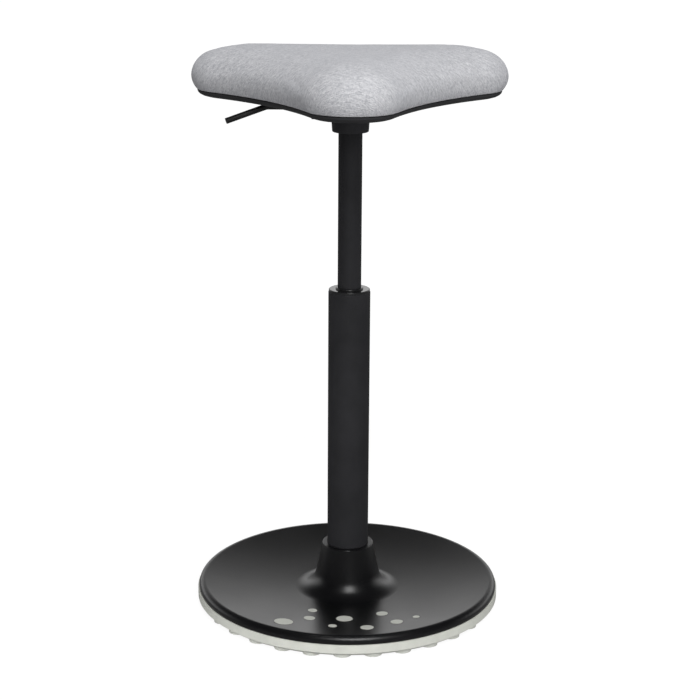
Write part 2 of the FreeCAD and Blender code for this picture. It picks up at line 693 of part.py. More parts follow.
def make_seat_plate():
    """Pressed plate with a channel across it and the taper socket for the spring under it."""
    half_length = given.plate_length / 2
    half_width = given.plate_width / 2
    half_channel = given.channel_width / 2
    channel_front = -given.lever_pivot - given.channel_nose
    flange = box("plate_flange", (-half_length, -half_width, plate_bottom),
                 (half_length, half_width, board_bottom))
    doc.recompute()
    rounded = doc.addObject("Part::Fillet", "plate_rounded")
    rounded.Base = flange
    upright = [
        index for index, edge in enumerate(flange.Shape.Edges, start=1)
        if edge.BoundBox.ZLength > value_of(given.plate_wall) / 2
    ]
    rounded.Edges = [(index, value_of(given.plate_corner), value_of(given.plate_corner)) for index in upright]
    hull = box("plate_channel", (channel_front, -half_channel, web_bottom),
               (given.channel_back, half_channel, plate_bottom))
    hollow = box("plate_hollow",
                 (channel_front + given.plate_wall, given.plate_wall - half_channel, web_top),
                 (given.channel_back + given.plate_wall, half_channel - given.plate_wall, plate_bottom))
    collar = cone("plate_collar", given.socket_radius - given.socket_taper, given.socket_radius,
                  socket_bottom, given.socket_height)
    doc.recompute()
    soft_collar = doc.addObject("Part::Fillet", "plate_collar_round")
    soft_collar.Base = collar
    lower = [
        index for index, edge in enumerate(collar.Shape.Edges, start=1)
        if edge.BoundBox.ZMax < value_of(socket_bottom) + 1e-6
    ]
    soft_collar.Edges = [(index, value_of(given.socket_edge), value_of(given.socket_edge)) for index in lower]
    raw = fuse("plate_raw", [rounded, cut("plate_channel_open", hull, hollow), soft_collar])
    bore = cone("plate_bore", given.spring_radius + given.fit,
                given.spring_radius - given.spring_taper + given.fit,
                socket_bottom, spring_top - socket_bottom)
    slot_bottom = lever_level - given.lever_radius - given.seat_gap
    slot = box("plate_slot", (channel_front, -given.lever_radius - given.seat_gap, slot_bottom),
               (channel_front + given.plate_wall, given.lever_radius + given.seat_gap, plate_bottom))
    pivot = doc.addObject("Part::Cylinder", "plate_pivot")
    bind(pivot, "Radius", given.lever_pin_radius + given.fit)
    bind(pivot, "Height", given.channel_width)
    pivot.Placement.Rotation = FreeCAD.Rotation(FreeCAD.Vector(1, 0, 0), -90)
    place(pivot, -given.lever_pivot, -half_channel, lever_level)
    holes = [
        cylinder("plate_hole_%d" % number, given.bolt_radius + given.seat_gap, plate_bottom, given.plate_wall,
                 across, along)
        for number, (across, along) in enumerate(bolt_places(), start=1)
    ]
    return cut("seat_plate", raw, fuse("plate_voids", [bore, slot, pivot] + holes))


def bolt_places():
    half_length = given.bolt_spread_length / 2
    half_width = given.bolt_spread_width / 2
    return [
        (half_length, half_width),
        (half_length, -half_width),
        (-half_length, half_width),
        (-half_length, -half_width),
    ]


def make_plate_bolts():
    head_level = plate_bottom - given.bolt_washer_height - given.bolt_head_height
    length = given.bolt_washer_height + given.plate_wall + given.board_height - given.bolt_head_height / 2
    return make_screws("plate_bolts", bolt_places(), given.bolt_radius, given.bolt_head_radius, head_level,
                       given.bolt_head_height, length, given.bolt_socket_radius)


def make_plate_washers():
    washers = []
    level = plate_bottom - given.bolt_washer_height
    for number, (across, along) in enumerate(bolt_places(), start=1):
        name = "plate_washer_%d" % number
        disc = cylinder(name + "_disc", given.bolt_washer_radius, level, given.bolt_washer_height,
                        across, along)
        hole = cylinder(name + "_hole", given.bolt_radius + given.fit, level, given.bolt_washer_height,
                        across, along)
        washers.append(cut(name, disc, hole))
    return group("plate_washers", washers)


def make_tee_nuts():
    nuts = []
    flange_level = board_top - given.tee_nut_flange_height
    for number, (across, along) in enumerate(bolt_places(), start=1):
        name = "tee_nut_%d" % number
        barrel = cylinder(name + "_barrel", given.tee_nut_radius, board_bottom, given.board_height,
                          across, along)
        flange = cylinder(name + "_flange", given.tee_nut_flange_radius, flange_level,
                          given.tee_nut_flange_height, across, along)
        thread = cylinder(name + "_thread", given.bolt_radius + given.fit, board_bottom, given.board_height,
                          across, along)
        nuts.append(cut(name, fuse(name + "_whole", [barrel, flange]), thread))
    return group("tee_nuts", nuts)


def make_release_lever():
    """Round rod: level from the pin to the bend, then sloping down to its end."""
    slope = math.radians(given.lever_bend.value)
    level = lever_level.value
    bend_radius = given.lever_bend_radius.value
    set_back = bend_radius * math.tan(slope / 2)
    bend = FreeCAD.Vector(-given.lever_straight.value, 0, level)
    outward = FreeCAD.Vector(-math.cos(slope), 0, -math.sin(slope))
    inner_end = FreeCAD.Vector(given.lever_inner.value, 0, level)
    arc_start = bend + FreeCAD.Vector(set_back, 0, 0)
    arc_end = bend + outward * set_back
    arc_middle = arc_start + FreeCAD.Vector(-bend_radius * math.sin(slope / 2), 0,
                                            -bend_radius * (1 - math.cos(slope / 2)))
    outer_end = bend + outward * ((given.lever_reach.value - given.lever_straight.value) / math.cos(slope))
    path = Part.Wire([
        Part.LineSegment(inner_end, arc_start).toShape(),
        Part.Arc(arc_start, arc_middle, arc_end).toShape(),
        Part.LineSegment(arc_end, outer_end).toShape(),
    ])
    section = Part.Wire(Part.makeCircle(given.lever_radius.value, inner_end, FreeCAD.Vector(1, 0, 0)))
    rod = path.makePipeShell([section], True, False)
    pivot_radius = given.lever_pin_radius.value + given.fit.value
    half_hole = given.lever_radius.value * 2
    pivot = Part.makeCylinder(pivot_radius, 2 * half_hole,
                              FreeCAD.Vector(-given.lever_pivot.value, -half_hole, level),
                              FreeCAD.Vector(0, 1, 0))
    return shaped("release_lever", rod.cut(pivot))


def shaped(name, shape):
    """An object whose shape is worked out above from the sheet's sizes."""
    item = doc.addObject("Part::Feature", name)
    item.Shape = shape
    item.Placement = FreeCAD.Placement()
    return item


def across_rod(name, radius, start, length):
    """A rod along Y at the lever's pivot."""
    rod = doc.addObject("Part::Cylinder", name)
    bind(rod, "Radius", radius)
    bind(rod, "Height", length)
    rod.Placement.Rotation = FreeCAD.Rotation(FreeCAD.Vector(1, 0, 0), -90)
    return place(rod, -given.lever_pivot, start, lever_level)


def make_lever_pin():
    half = given.channel_width / 2 + given.lever_pin_stand
    return across_rod("lever_pin", given.lever_pin_radius, -half, half * 2)


def make_pin_clips():
    """Two round clips that keep the pivot pin in the channel."""
    clips = []
    outside = given.channel_width / 2
    for number, start in enumerate((outside, -outside - given.pin_clip_height), start=1):
        name = "pin_clip_%d" % number
        disc = across_rod(name + "_disc", given.pin_clip_radius, start, given.pin_clip_height)
        bore = across_rod(name + "_bore", given.lever_pin_radius + given.fit, start, given.pin_clip_height)
        clips.append(cut(name, disc, bore))
    return group("pin_clips", clips)


# A direction in degrees that lies on the arc of a wing.
WING_TIP_TURN = 20

# Sections of the cushion: shares of the height from its widest line down to its foot, turns of
# the rolled edge in degrees, and then width and height of the crown as shares of their full size.
PAD_FOOT_SHARES = (1, 0.66, 0.33)
PAD_ROLL_TURNS = (0, 15, 30, 44, 57, 68, 78, 87)
PAD_CROWN_SHARES = ((0.93, 0.25), (0.72, 0.62), (0.45, 0.88), (0.18, 1))

# Sections of the shell's rounded edge, as turns in degrees.
SHELL_TURNS = (90, 72, 54, 36, 18, 0)


def seat_wire(inset, level, scale=1.0):
    """The three-lobed outline of the seat: nose, two wings, two hollow flanks and a hollow back."""
    nose_radius = given.nose_radius.value
    wing_radius = given.wing_radius.value
    flank_radius = given.flank_radius.value
    back_radius = given.back_radius.value
    nose = FreeCAD.Vector(0, nose_radius - given.nose_reach.value, 0)
    wing = FreeCAD.Vector(given.wing_half_width.value - wing_radius, given.wing_back.value - wing_radius, 0)
    back = FreeCAD.Vector(0, wing.y + math.sqrt((back_radius + wing_radius) ** 2 - wing.x ** 2), 0)
    span = wing - nose
    to_nose = flank_radius + nose_radius
    to_wing = flank_radius + wing_radius
    foot = (to_nose ** 2 - to_wing ** 2 + span.Length ** 2) / (2 * span.Length)
    along = span / span.Length
    outward = FreeCAD.Vector(along.y, -along.x, 0)
    flank = nose + along * foot + outward * math.sqrt(to_nose ** 2 - foot ** 2)

    def touch(centre, other, radius):
        """The point of a lobe where it meets the hollow of the given centre."""
        return centre + (other - centre) / (other - centre).Length * (radius - inset)

    nose_end = touch(nose, flank, nose_radius)
    wing_start = touch(wing, flank, wing_radius)
    wing_end = touch(wing, back, wing_radius)
    nose_tip = nose - FreeCAD.Vector(0, nose_radius - inset, 0)
    wing_turn = math.radians(WING_TIP_TURN)
    wing_tip = wing + FreeCAD.Vector(math.cos(wing_turn), math.sin(wing_turn), 0) * (wing_radius - inset)
    flank_middle = flank - outward * (flank_radius + inset)
    back_middle = back - FreeCAD.Vector(0, back_radius + inset, 0)

    def mirrored(point):
        return FreeCAD.Vector(-point.x, point.y, 0)

    def lifted(point):
        return FreeCAD.Vector(point.x * scale, point.y * scale, level)

    stations = [
        (mirrored(nose_end), nose_tip, nose_end),
        (nose_end, flank_middle, wing_start),
        (wing_start, wing_tip, wing_end),
        (wing_end, back_middle, mirrored(wing_end)),
        (mirrored(wing_end), mirrored(wing_tip), mirrored(wing_start)),
        (mirrored(wing_start), mirrored(flank_middle), mirrored(nose_end)),
    ]
    return Part.Wire([Part.Arc(*[lifted(point) for point in arc]).toShape() for arc in stations])


def seat_prism(inset, bottom, height):
    """A plain upright block with the seat's outline."""
    return Part.Face(seat_wire(inset, bottom)).extrude(FreeCAD.Vector(0, 0, height))


def pad_block(inset, foot_level):
    """The crowned cushion, drawn in at its foot and rolled over at its upper edge."""
    widest = pad_widest.value
    low = widest - pad_foot.value
    roll_width = given.pad_roll_width.value
    roll_height = given.pad_roll_height.value - inset
    crown_base = widest + roll_height
    sections = []
    for share in PAD_FOOT_SHARES:
        level = widest - share * (widest - foot_level)
        tuck = given.pad_tuck.value * ((widest - level) / low) ** 2
        sections.append(seat_wire(inset + tuck, level))
    for degrees in PAD_ROLL_TURNS:
        turn = math.radians(degrees)
        drawn_in = inset + (roll_width - inset) * (1 - math.cos(turn))
        sections.append(seat_wire(drawn_in, widest + roll_height * math.sin(turn)))
    for scale, rise in PAD_CROWN_SHARES:
        sections.append(seat_wire(roll_width, crown_base + rise * given.pad_crown.value, scale))
    return Part.makeLoft(sections, True, True)


def make_seat_cover():
    """Fabric cover: a thin skin over the pad with a hem turned under the board."""
    thickness = given.cover_thickness.value
    outer = pad_block(0, pad_foot.value)
    inner = pad_block(thickness, pad_foot.value + thickness)
    overcut = given.overcut.value
    mouth = seat_prism(given.pad_tuck.value + given.hem_width.value, pad_foot.value - overcut,
                       thickness + 2 * overcut)
    return shaped("seat_cover", outer.cut(inner).cut(mouth))


def make_seat_foam():
    """Foam pad over the board and round its edge."""
    gap = given.seat_gap.value
    skin = given.cover_thickness.value + gap
    block = pad_block(skin, board_bottom.value)
    overcut = given.overcut.value
    seat = seat_prism(given.board_inset.value - gap, board_bottom.value - overcut,
                      given.board_height.value + gap + overcut)
    return shaped("seat_foam", block.cut(seat))


def shell_screw_places():
    """Places of the shell screws, inside each lobe and each hollow."""
    wing_across = given.wing_half_width - given.wing_radius
    wing_along = given.wing_back - given.wing_radius
    return [
        (ZERO, given.nose_radius - given.nose_reach),
        (wing_across, wing_along),
        (-wing_across, wing_along),
        (given.flank_screw_across, -given.flank_screw_ahead),
        (-given.flank_screw_across, -given.flank_screw_ahead),
        (ZERO, given.back_screw_behind),
    ]


def upright_cylinder(radius, place_pair, bottom, height):
    across, along = place_pair
    return Part.makeCylinder(radius, height, FreeCAD.Vector(value_of(across), value_of(along), bottom))


def make_seat_board():
    """Plywood board with holes for the tee nuts and for the shell screws."""
    bottom = board_bottom.value
    height = given.board_height.value
    board = seat_prism(given.board_inset.value, bottom, height)
    flange = given.tee_nut_flange_height.value
    fit = given.fit.value
    for spot in bolt_places():
        board = board.cut(upright_cylinder(given.tee_nut_radius.value + fit, spot, bottom, height))
        board = board.cut(upright_cylinder(given.tee_nut_flange_radius.value + fit, spot,
                                           bottom + height - flange, flange))
    for spot in shell_screw_places():
        board = board.cut(upright_cylinder(given.shell_screw_radius.value + fit, spot, bottom,
                                           height - given.board_skin.value))
    return shaped("seat_board", board)


def shell_block(inset, bottom):
    """Shell outline swept from its rounded lower edge up to its rim."""
    rim = shell_rim.value
    tuck = given.shell_tuck.value + inset
    width = given.shell_round.value
    height = rim - bottom
    sections = []
    for degrees in SHELL_TURNS:
        turn = math.radians(degrees)
        sections.append(seat_wire(tuck + width * (1 - math.cos(turn)), rim - height * math.sin(turn)))
    return Part.makeLoft(sections, True, True)


def make_seat_shell():
    """Black shell under the board: open for the seat plate, grooved for the lever, with bosses."""
    bottom = shell_bottom.value
    rim = shell_rim.value
    wall = given.shell_wall.value
    gap = given.seat_gap.value
    shell = shell_block(0, bottom).cut(shell_block(wall, bottom + wall))
    boss_top = board_bottom.value - gap
    for spot in shell_screw_places():
        shell = shell.fuse(upright_cylinder(given.shell_boss_radius.value, spot, bottom + wall / 2,
                                            boss_top - bottom - wall / 2))
    half_length = given.plate_length.value / 2 + given.shell_opening_gap.value
    half_width = given.plate_width.value / 2 + given.shell_opening_gap.value
    trough_top = bottom + given.groove_depth.value + wall
    trough = Part.makeBox(given.groove_end.value + wall - half_length, given.groove_width.value + 2 * wall,
                          trough_top - bottom - wall / 2,
                          FreeCAD.Vector(-given.groove_end.value - wall, -given.groove_width.value / 2 - wall,
                                         bottom + wall / 2))
    shell = shell.fuse(trough)
    groove = Part.makeBox(given.groove_end.value, given.groove_width.value, given.groove_depth.value,
                          FreeCAD.Vector(-given.groove_end.value, -given.groove_width.value / 2, bottom))
    opening = Part.makeBox(2 * half_length, 2 * half_width, rim - bottom + 2 * wall,
                           FreeCAD.Vector(-half_length, -half_width, bottom - wall / 2))
    shell = shell.cut(groove).cut(opening)
    shank_hole = given.shell_screw_radius.value + gap
    head_hole = given.shell_screw_head.value + gap
    head_top = shell_head_level.value + given.shell_screw_head_height.value
    for spot in shell_screw_places():
        shell = shell.cut(upright_cylinder(shank_hole, spot, bottom, boss_top - bottom))
        shell = shell.cut(upright_cylinder(head_hole, spot, bottom, head_top - bottom))
    return shaped("seat_shell", shell.removeSplitter())


def make_shell_screws():
    return make_screws("shell_screws", shell_screw_places(), given.shell_screw_radius, given.shell_screw_head,
                       shell_head_level, given.shell_screw_head_height,
                       given.shell_screw_length, given.shell_screw_radius / 2)


def make_valve_body():
    radius = spring_bore - given.spring_taper - given.fit
    return ring("valve_body", radius, given.pin_radius + given.fit, spring_top - given.valve_height,
                given.valve_height)


def make_release_pin():
    return cylinder("release_pin", given.pin_radius, pin_top - given.pin_length, given.pin_length)


# Heights inside the gas spring and its thrust bearing.
guide_bottom = spring_bottom + given.guide_recess
seal_bottom = guide_bottom + given.guide_height
guide_washer_bottom = seal_bottom + given.seal_height
guide_washer_top = guide_washer_bottom + given.guide_washer_height
valve_bottom = spring_top - given.valve_height
piston_bottom = guide_washer_top + given.piston_lift
piston_top = piston_bottom + given.piston_height
lower_race_top = tube_inside + given.race_height
ball_level = lower_race_top + given.ball_radius + given.fit
upper_race_bottom = ball_level + given.ball_radius + given.fit
upper_race_top = upper_race_bottom + given.race_height
clip_washer_top = tube_bottom - given.fit
clip_washer_bottom = clip_washer_top - given.clip_washer_height
clip_bottom = clip_washer_bottom - given.clip_height
rod_bottom = clip_bottom - given.rod_tail
spring_fill = spring_bore - given.fit
ball_circle = (neck_clear + given.race_radius) / 2


def make_rod_guide():
    return ring("rod_guide", spring_fill, rod_clear, guide_bottom, given.guide_height)


def make_rod_seal():
    return ring("rod_seal", spring_fill, rod_clear, seal_bottom, given.seal_height)


def make_guide_washer():
    return ring("guide_washer", spring_fill, given.rod_radius + given.seat_gap, guide_washer_bottom,
                given.guide_washer_height)


def make_inner_cylinder():
    return ring("inner_cylinder", given.cylinder_radius, cylinder_bore, guide_washer_top,
                valve_bottom - guide_washer_top)


def make_piston_rod():
    """Rod with a slim foot that passes the bearing and the tube's floor, grooved for its clip."""
    groove_radius = given.rod_neck_radius - given.clip_groove
    return turned("piston_rod", [
        (0, rod_bottom),
        (given.rod_neck_radius, rod_bottom),
        (given.rod_neck_radius, clip_bottom),
        (groove_radius, clip_bottom),
        (groove_radius, clip_washer_bottom),
        (given.rod_neck_radius, clip_washer_bottom),
        (given.rod_neck_radius, upper_race_top),
        (given.rod_radius, upper_race_top),
        (given.rod_radius, piston_top + given.rod_rivet),
        (0, piston_top + given.rod_rivet),
    ])


def make_piston():
    """Piston on the rod, with a groove round it for its ring."""
    outer = cylinder_bore - given.fit * 2
    groove_bottom = piston_bottom + (given.piston_height - given.piston_ring_height) / 2
    groove_top = groove_bottom + given.piston_ring_height
    groove_radius = outer - given.piston_ring_depth
    return turned("piston", [
        (rod_clear, piston_bottom),
        (outer, piston_bottom),
        (outer, groove_bottom),
        (groove_radius, groove_bottom),
        (groove_radius, groove_top),
        (outer, groove_top),
        (outer, piston_top),
        (rod_clear, piston_top),
    ])


def make_piston_ring():
    level = piston_bottom + (given.piston_height - given.piston_ring_height) / 2
    inner = cylinder_bore - given.fit * 2 - given.piston_ring_depth
    return ring("piston_ring", cylinder_bore - given.fit, inner + given.fit, level + given.fit,
                given.piston_ring_height - given.fit * 2)


def make_lower_race():
    return ring("lower_race", given.race_radius, neck_clear + given.seat_gap, tube_inside, given.race_height)


def make_upper_race():
    return ring("upper_race", given.race_radius, neck_clear, upper_race_bottom, given.race_height)


def make_ball_cage():
    """Flat cage between the races, with a hole for each ball."""
    level = ball_level - given.cage_height / 2
    plate = ring("cage_plate", given.race_radius - given.seat_gap, neck_clear + given.seat_gap, level,
                 given.cage_height)
    holes = [
        cylinder("cage_hole_%d" % number, given.ball_radius + given.fit, level, given.cage_height,
                 across, along)
        for number, (across, along) in enumerate(turn_places(given.ball_count, ball_circle), start=1)
    ]
    return cut("ball_cage", plate, fuse("cage_holes", holes))


def make_bearing_balls():
    balls = []
    for number, (across, along) in enumerate(turn_places(given.ball_count, ball_circle), start=1):
        ball = doc.addObject("Part::Sphere", "ball_%d" % number)
        bind(ball, "Radius", given.ball_radius)
        balls.append(place(ball, across, along, ball_level))
    return group("bearing_balls", balls)


def make_rubber_bumper():
    return ring("rubber_bumper", given.bumper_radius, rod_clear, upper_race_top, given.bumper_height)


def make_rod_washer():
    return ring("rod_washer", given.clip_washer_radius, neck_clear, clip_washer_bottom,
                given.clip_washer_height)


def make_rod_clip():
    """Spring clip in the groove of the rod, open at one side."""
    inner = given.rod_neck_radius - given.clip_groove + given.fit
    whole = ring("rod_clip_whole", given.clip_radius, inner, clip_bottom, given.clip_height)
    mouth = box("rod_clip_mouth", (ZERO, -inner, clip_bottom),
                (given.clip_radius * 2, inner, clip_washer_bottom))
    return cut("rod_clip", whole, mouth)


MAKERS = [
    make_base_sole,
    make_base_weight,
    make_base_cover,
    make_grip_dots,
    make_cover_screws,
    make_standing_tube,
    make_guide_bush,
    make_lower_race,
    make_piston_rod,
    make_piston,
    make_piston_ring,
    make_upper_race,
    make_rubber_bumper,
    make_rod_washer,
    make_rod_clip,
    make_ball_cage,
    make_bearing_balls,
    make_pressure_tube,
    make_inner_cylinder,
    make_valve_body,
    make_rod_guide,
    make_rod_seal,
    make_guide_washer,
    make_release_pin,
    make_seat_plate,
    make_plate_bolts,
    make_plate_washers,
    make_tee_nuts,
    make_lever_pin,
    make_pin_clips,
    make_release_lever,
    make_seat_board,
    make_seat_foam,
    make_seat_cover,
    make_seat_shell,
    make_shell_screws,
]


def export_nodes():
    """Builds every piece, checks the whole document and writes one STEP file for each piece."""
    pieces = [maker() for maker in MAKERS]
    doc.recompute()
    faults = [item.Name for item in doc.Objects if "Invalid" in item.State or "Error" in item.State]
    for piece in pieces:
        if piece.Shape.isNull() or not piece.Shape.isValid() or not piece.Shape.Solids:
            faults.append(piece.Label)
    if faults:
        raise ValueError("pieces that did not build: " + ", ".join(faults))
    os.makedirs("parts", exist_ok=True)
    for piece in pieces:
        piece.Shape.exportStep("parts/%s.step" % piece.Label)
        print("%-16s %3d solids %12.1f mm3" % (piece.Label, len(piece.Shape.Solids), piece.Shape.Volume))


export_nodes()
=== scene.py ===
import math

import bmesh
import bpy
import numpy as np
from bpy.props import FloatProperty, FloatVectorProperty, IntProperty, PointerProperty
from mathutils import Matrix, Vector
from mathutils.geometry import delaunay_2d_cdt


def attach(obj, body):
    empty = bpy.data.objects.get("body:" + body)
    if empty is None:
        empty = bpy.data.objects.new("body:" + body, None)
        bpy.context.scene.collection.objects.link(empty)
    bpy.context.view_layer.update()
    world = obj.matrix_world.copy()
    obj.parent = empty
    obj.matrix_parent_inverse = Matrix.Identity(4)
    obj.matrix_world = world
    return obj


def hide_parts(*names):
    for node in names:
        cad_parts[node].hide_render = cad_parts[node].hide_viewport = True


bl_info = {
    "name": "Perch stool looks",
    "version": (1, 0, 0),
    "blender": (4, 5, 0),
    "location": "View3D > Sidebar > Perch stool",
    "description": "Upholstery, finishes and studio for the perch stool",
    "category": "Object",
}

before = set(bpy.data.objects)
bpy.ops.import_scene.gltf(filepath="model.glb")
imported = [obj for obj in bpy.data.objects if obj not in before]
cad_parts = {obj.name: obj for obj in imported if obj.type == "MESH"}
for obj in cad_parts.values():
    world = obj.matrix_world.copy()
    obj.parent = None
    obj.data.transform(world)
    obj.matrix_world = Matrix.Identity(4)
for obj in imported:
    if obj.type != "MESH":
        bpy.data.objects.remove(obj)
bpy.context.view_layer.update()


def length(name, default, description):
    return FloatProperty(name=name, description=description, default=default, unit="LENGTH")


def angle(name, default, description):
    return FloatProperty(name=name, description=description, default=math.radians(default),
                         unit="ROTATION")


def share(name, default, description):
    return FloatProperty(name=name, description=description, default=default)


def power(name, default, description):
    return FloatProperty(name=name, description=description, default=default, unit="POWER")


def colour(name, default, description):
    return FloatVectorProperty(name=name, description=description, default=default, size=3, subtype="COLOR",
                               min=0, max=1)


class SeatShape(bpy.types.PropertyGroup):
    """Sizes of the padded seat."""

    nose_reach: length("Nose reach", 0.1845, "From the column's axis to the tip of the nose")
    nose_radius: length("Nose radius", 0.058, "Radius of the nose lobe")
    wing_half_width: length("Wing half width", 0.1885, "From the axis to the side of a wing")
    wing_back: length("Wing back", 0.1375, "From the axis to the back of a wing")
    wing_radius: length("Wing radius", 0.0675, "Radius of a wing lobe")
    flank_radius: length("Flank radius", 0.409, "Hollow radius between nose and wing")
    back_radius: length("Back radius", 0.9, "Hollow radius between the wings")
    foot: length("Foot", 0.6206, "Height of the under side of the pad")
    widest: length("Widest line", 0.6366, "Height where the pad is widest")
    tuck: length("Tuck", 0.0063, "How far the pad is drawn in at its foot")
    roll_width: length("Roll width", 0.044, "Width of the rolled upper edge")
    roll_height: length("Roll height", 0.0332, "Height of the rolled upper edge")
    crown: length("Crown", 0.0012, "Rise of the top inside the rolled edge")
    hem: length("Hem", 0.018, "Width of the hem under the board")
    board_inset: length("Board inset", 0.0157, "Hollow for the board inside the outline")
    board_top: length("Board top", 0.6328, "Height of the top of that hollow")
    mesh_step: length("Mesh step", 0.0048, "Distance between points of the mesh")
    pressure: share("Stuffing pressure", 4, "Pressure that tightens the cloth over the foam")
    cloth_frames: IntProperty(name="Cloth steps", description="Steps of the cloth simulation", default=16)
    cloth_cap: length("Cloth cap", 0.0016, "Largest move of the cloth while it tightens")
    pucker: length("Pucker", 0.00035, "Depth of the gathers just above the hem")
    fill: share("Fill", 0.95, "How tightly the pad is stuffed, from 0 to 1")


class Finishes(bpy.types.PropertyGroup):
    """Colours of the finishes."""

    thread_light: colour("Light thread", (0.64, 0.64, 0.66), "Pale threads of the seat cloth")
    thread_dark: colour("Dark thread", (0.37, 0.375, 0.4), "Darker threads of the seat cloth")
    shell: colour("Shell", (0.028, 0.028, 0.03), "Black plastic shell under the seat")
    steel_paint: colour("Seat plate paint", (0.032, 0.032, 0.035), "Paint of the seat plate")
    tube: colour("Tube coating", (0.021, 0.021, 0.023), "Powder coating of both tubes")
    bush: colour("Bush", (0.012, 0.012, 0.013), "Glossy plastic of the guide bush")
    lever: colour("Lever coating", (0.008, 0.008, 0.008), "Coating of the release lever")
    dish: colour("Dish", (0.004, 0.004, 0.0046), "Black plastic of the dish")
    sole: colour("Sole", (0.66, 0.67, 0.615), "Pale grey rubber of the sole and the studs")
    seal: colour("Seal rubber", (0.02, 0.02, 0.02), "Rubber of seals and bumper")
    guide: colour("Guide plastic", (0.72, 0.71, 0.66), "Natural plastic of the rod guide")
    iron: colour("Cast iron", (0.075, 0.078, 0.082), "Cast disc in the base")
    zinc: colour("Zinc", (0.62, 0.63, 0.65), "Zinc plating of screws, washers and pins")
    steel: colour("Ground steel", (0.68, 0.68, 0.7), "Rod, balls and races")
    aluminium: colour("Aluminium", (0.74, 0.75, 0.76), "Turned valve and piston")
    birch: colour("Birch", (0.68, 0.5, 0.31), "Plywood of the seat board")


class Studio(bpy.types.PropertyGroup):
    """Camera and light."""

    distance: length("Camera distance", 1.998, "From the column's axis to the camera, along the floor")
    height: length("Camera height", 0.8729, "Height of the camera above the floor")
    turn: angle("Camera turn", 0.8, "Turn of the camera round the column")
    swing: angle("Camera swing", 0.036, "How far the camera looks to the right of the column")
    pitch: angle("Camera pitch", 15.55, "How far the camera looks down")
    roll: angle("Camera roll", 0.41, "How far the camera leans to the left")
    lens: share("Lens", 88.97, "Focal length in millimetres on a 36 mm sensor")
    ambient: share("Ambient light", 0.27, "Level of the light from all round")
    front_power: power("Front light", 36, "Tall softbox in front")
    right_power: power("Right light", 6.5, "Softbox on the right")
    left_power: power("Left light", 0.24, "Low softbox on the left, aimed at the base")
    low_power: power("Low light", 0.09, "Low softbox in front, aimed at the base")
    bounce_power: power("Bounce light", 4, "Light that the floor throws up at the seat")
    top_power: power("Top light", 8, "Softbox overhead")
    low_spread: angle("Spread", 60, "How widely the two low softboxes spread their light")
    wall_level: share("Backdrop", 1.25, "Level of the backdrop in reflections")
    wall_top: angle("Top of the backdrop", 15, "Up to this height reflections show white")
    ceiling: angle("Start of the ceiling", 31, "From this height on reflections show the ceiling")
    ceiling_level: share("Ceiling", 0.025, "Level of the ceiling in reflections")
    floor: colour("Floor", (0.14, 0.14, 0.14), "Floor colour")
    floor_glow: share("Floor glow", 0.92, "White added to the floor near the stool for the camera")


# Arcs of the seat's outline and offsets of it

# Points inside the ring keep this share of their spacing clear of it.
CLEARANCE = 0.6

# Output kind of the triangulation that leaves out what lies outside the ring, and its limits in metres.
KEEP_INSIDE = 1
SAME_POINT = 1e-7
TINY = 1e-12


def lobe_arcs(shape):
    """Outline of the seat as arcs: centre, radius, first and last angle, and 1 for a lobe or -1 for a
    hollow."""
    nose = Vector((0, shape.nose_radius - shape.nose_reach))
    wing = Vector((shape.wing_half_width - shape.wing_radius, shape.wing_back - shape.wing_radius))
    back_span = shape.back_radius + shape.wing_radius
    back = Vector((0, wing.y + math.sqrt(back_span ** 2 - wing.x ** 2)))
    span = wing - nose
    to_nose = shape.flank_radius + shape.nose_radius
    to_wing = shape.flank_radius + shape.wing_radius
    foot = (to_nose ** 2 - to_wing ** 2 + span.length_squared) / (2 * span.length)
    along = span.normalized()
    outward = Vector((along.y, -along.x))
    flank = nose + along * foot + outward * math.sqrt(to_nose ** 2 - foot ** 2)
    at_nose = math.atan2(flank.y - nose.y, flank.x - nose.x)
    at_wing = math.atan2(flank.y - wing.y, flank.x - wing.x)
    at_back = math.atan2(back.y - wing.y, back.x - wing.x)
    half_turn = math.pi
    left_wing = Vector((-wing.x, wing.y))
    left_flank = Vector((-flank.x, flank.y))
    return [
        (nose, shape.nose_radius, -half_turn - at_nose, at_nose, 1),
        (flank, shape.flank_radius, at_nose + half_turn, at_wing + half_turn, -1),
        (wing, shape.wing_radius, at_wing, at_back, 1),
        (back, shape.back_radius, at_back - half_turn, -at_back, -1),
        (left_wing, shape.wing_radius, half_turn - at_back, half_turn - at_wing, 1),
        (left_flank, shape.flank_radius, -at_wing, -at_nose, -1),
    ]


class Outline:
    """Points round the seat's outline, which can be moved inward by any inset."""

    def __init__(self, shape, step):
        centres, radii, directions, signs = [], [], [], []
        for centre, radius, first, last, sign in lobe_arcs(shape):
            count = max(3, round(abs(last - first) * radius / step))
            for index in range(count):
                turn = first + (last - first) * index / count
                centres.append(tuple(centre))
                radii.append(radius)
                directions.append((math.cos(turn), math.sin(turn)))
                signs.append(sign)
        self.centres = np.array(centres)
        self.radii = np.array(radii)
        self.directions = np.array(directions)
        self.signs = np.array(signs, float)
        self.outward = self.directions * self.signs[:, None]
        self.count = len(radii)

    def at(self, inset):
        return self.centres + self.directions * (self.radii - self.signs * inset)[:, None]


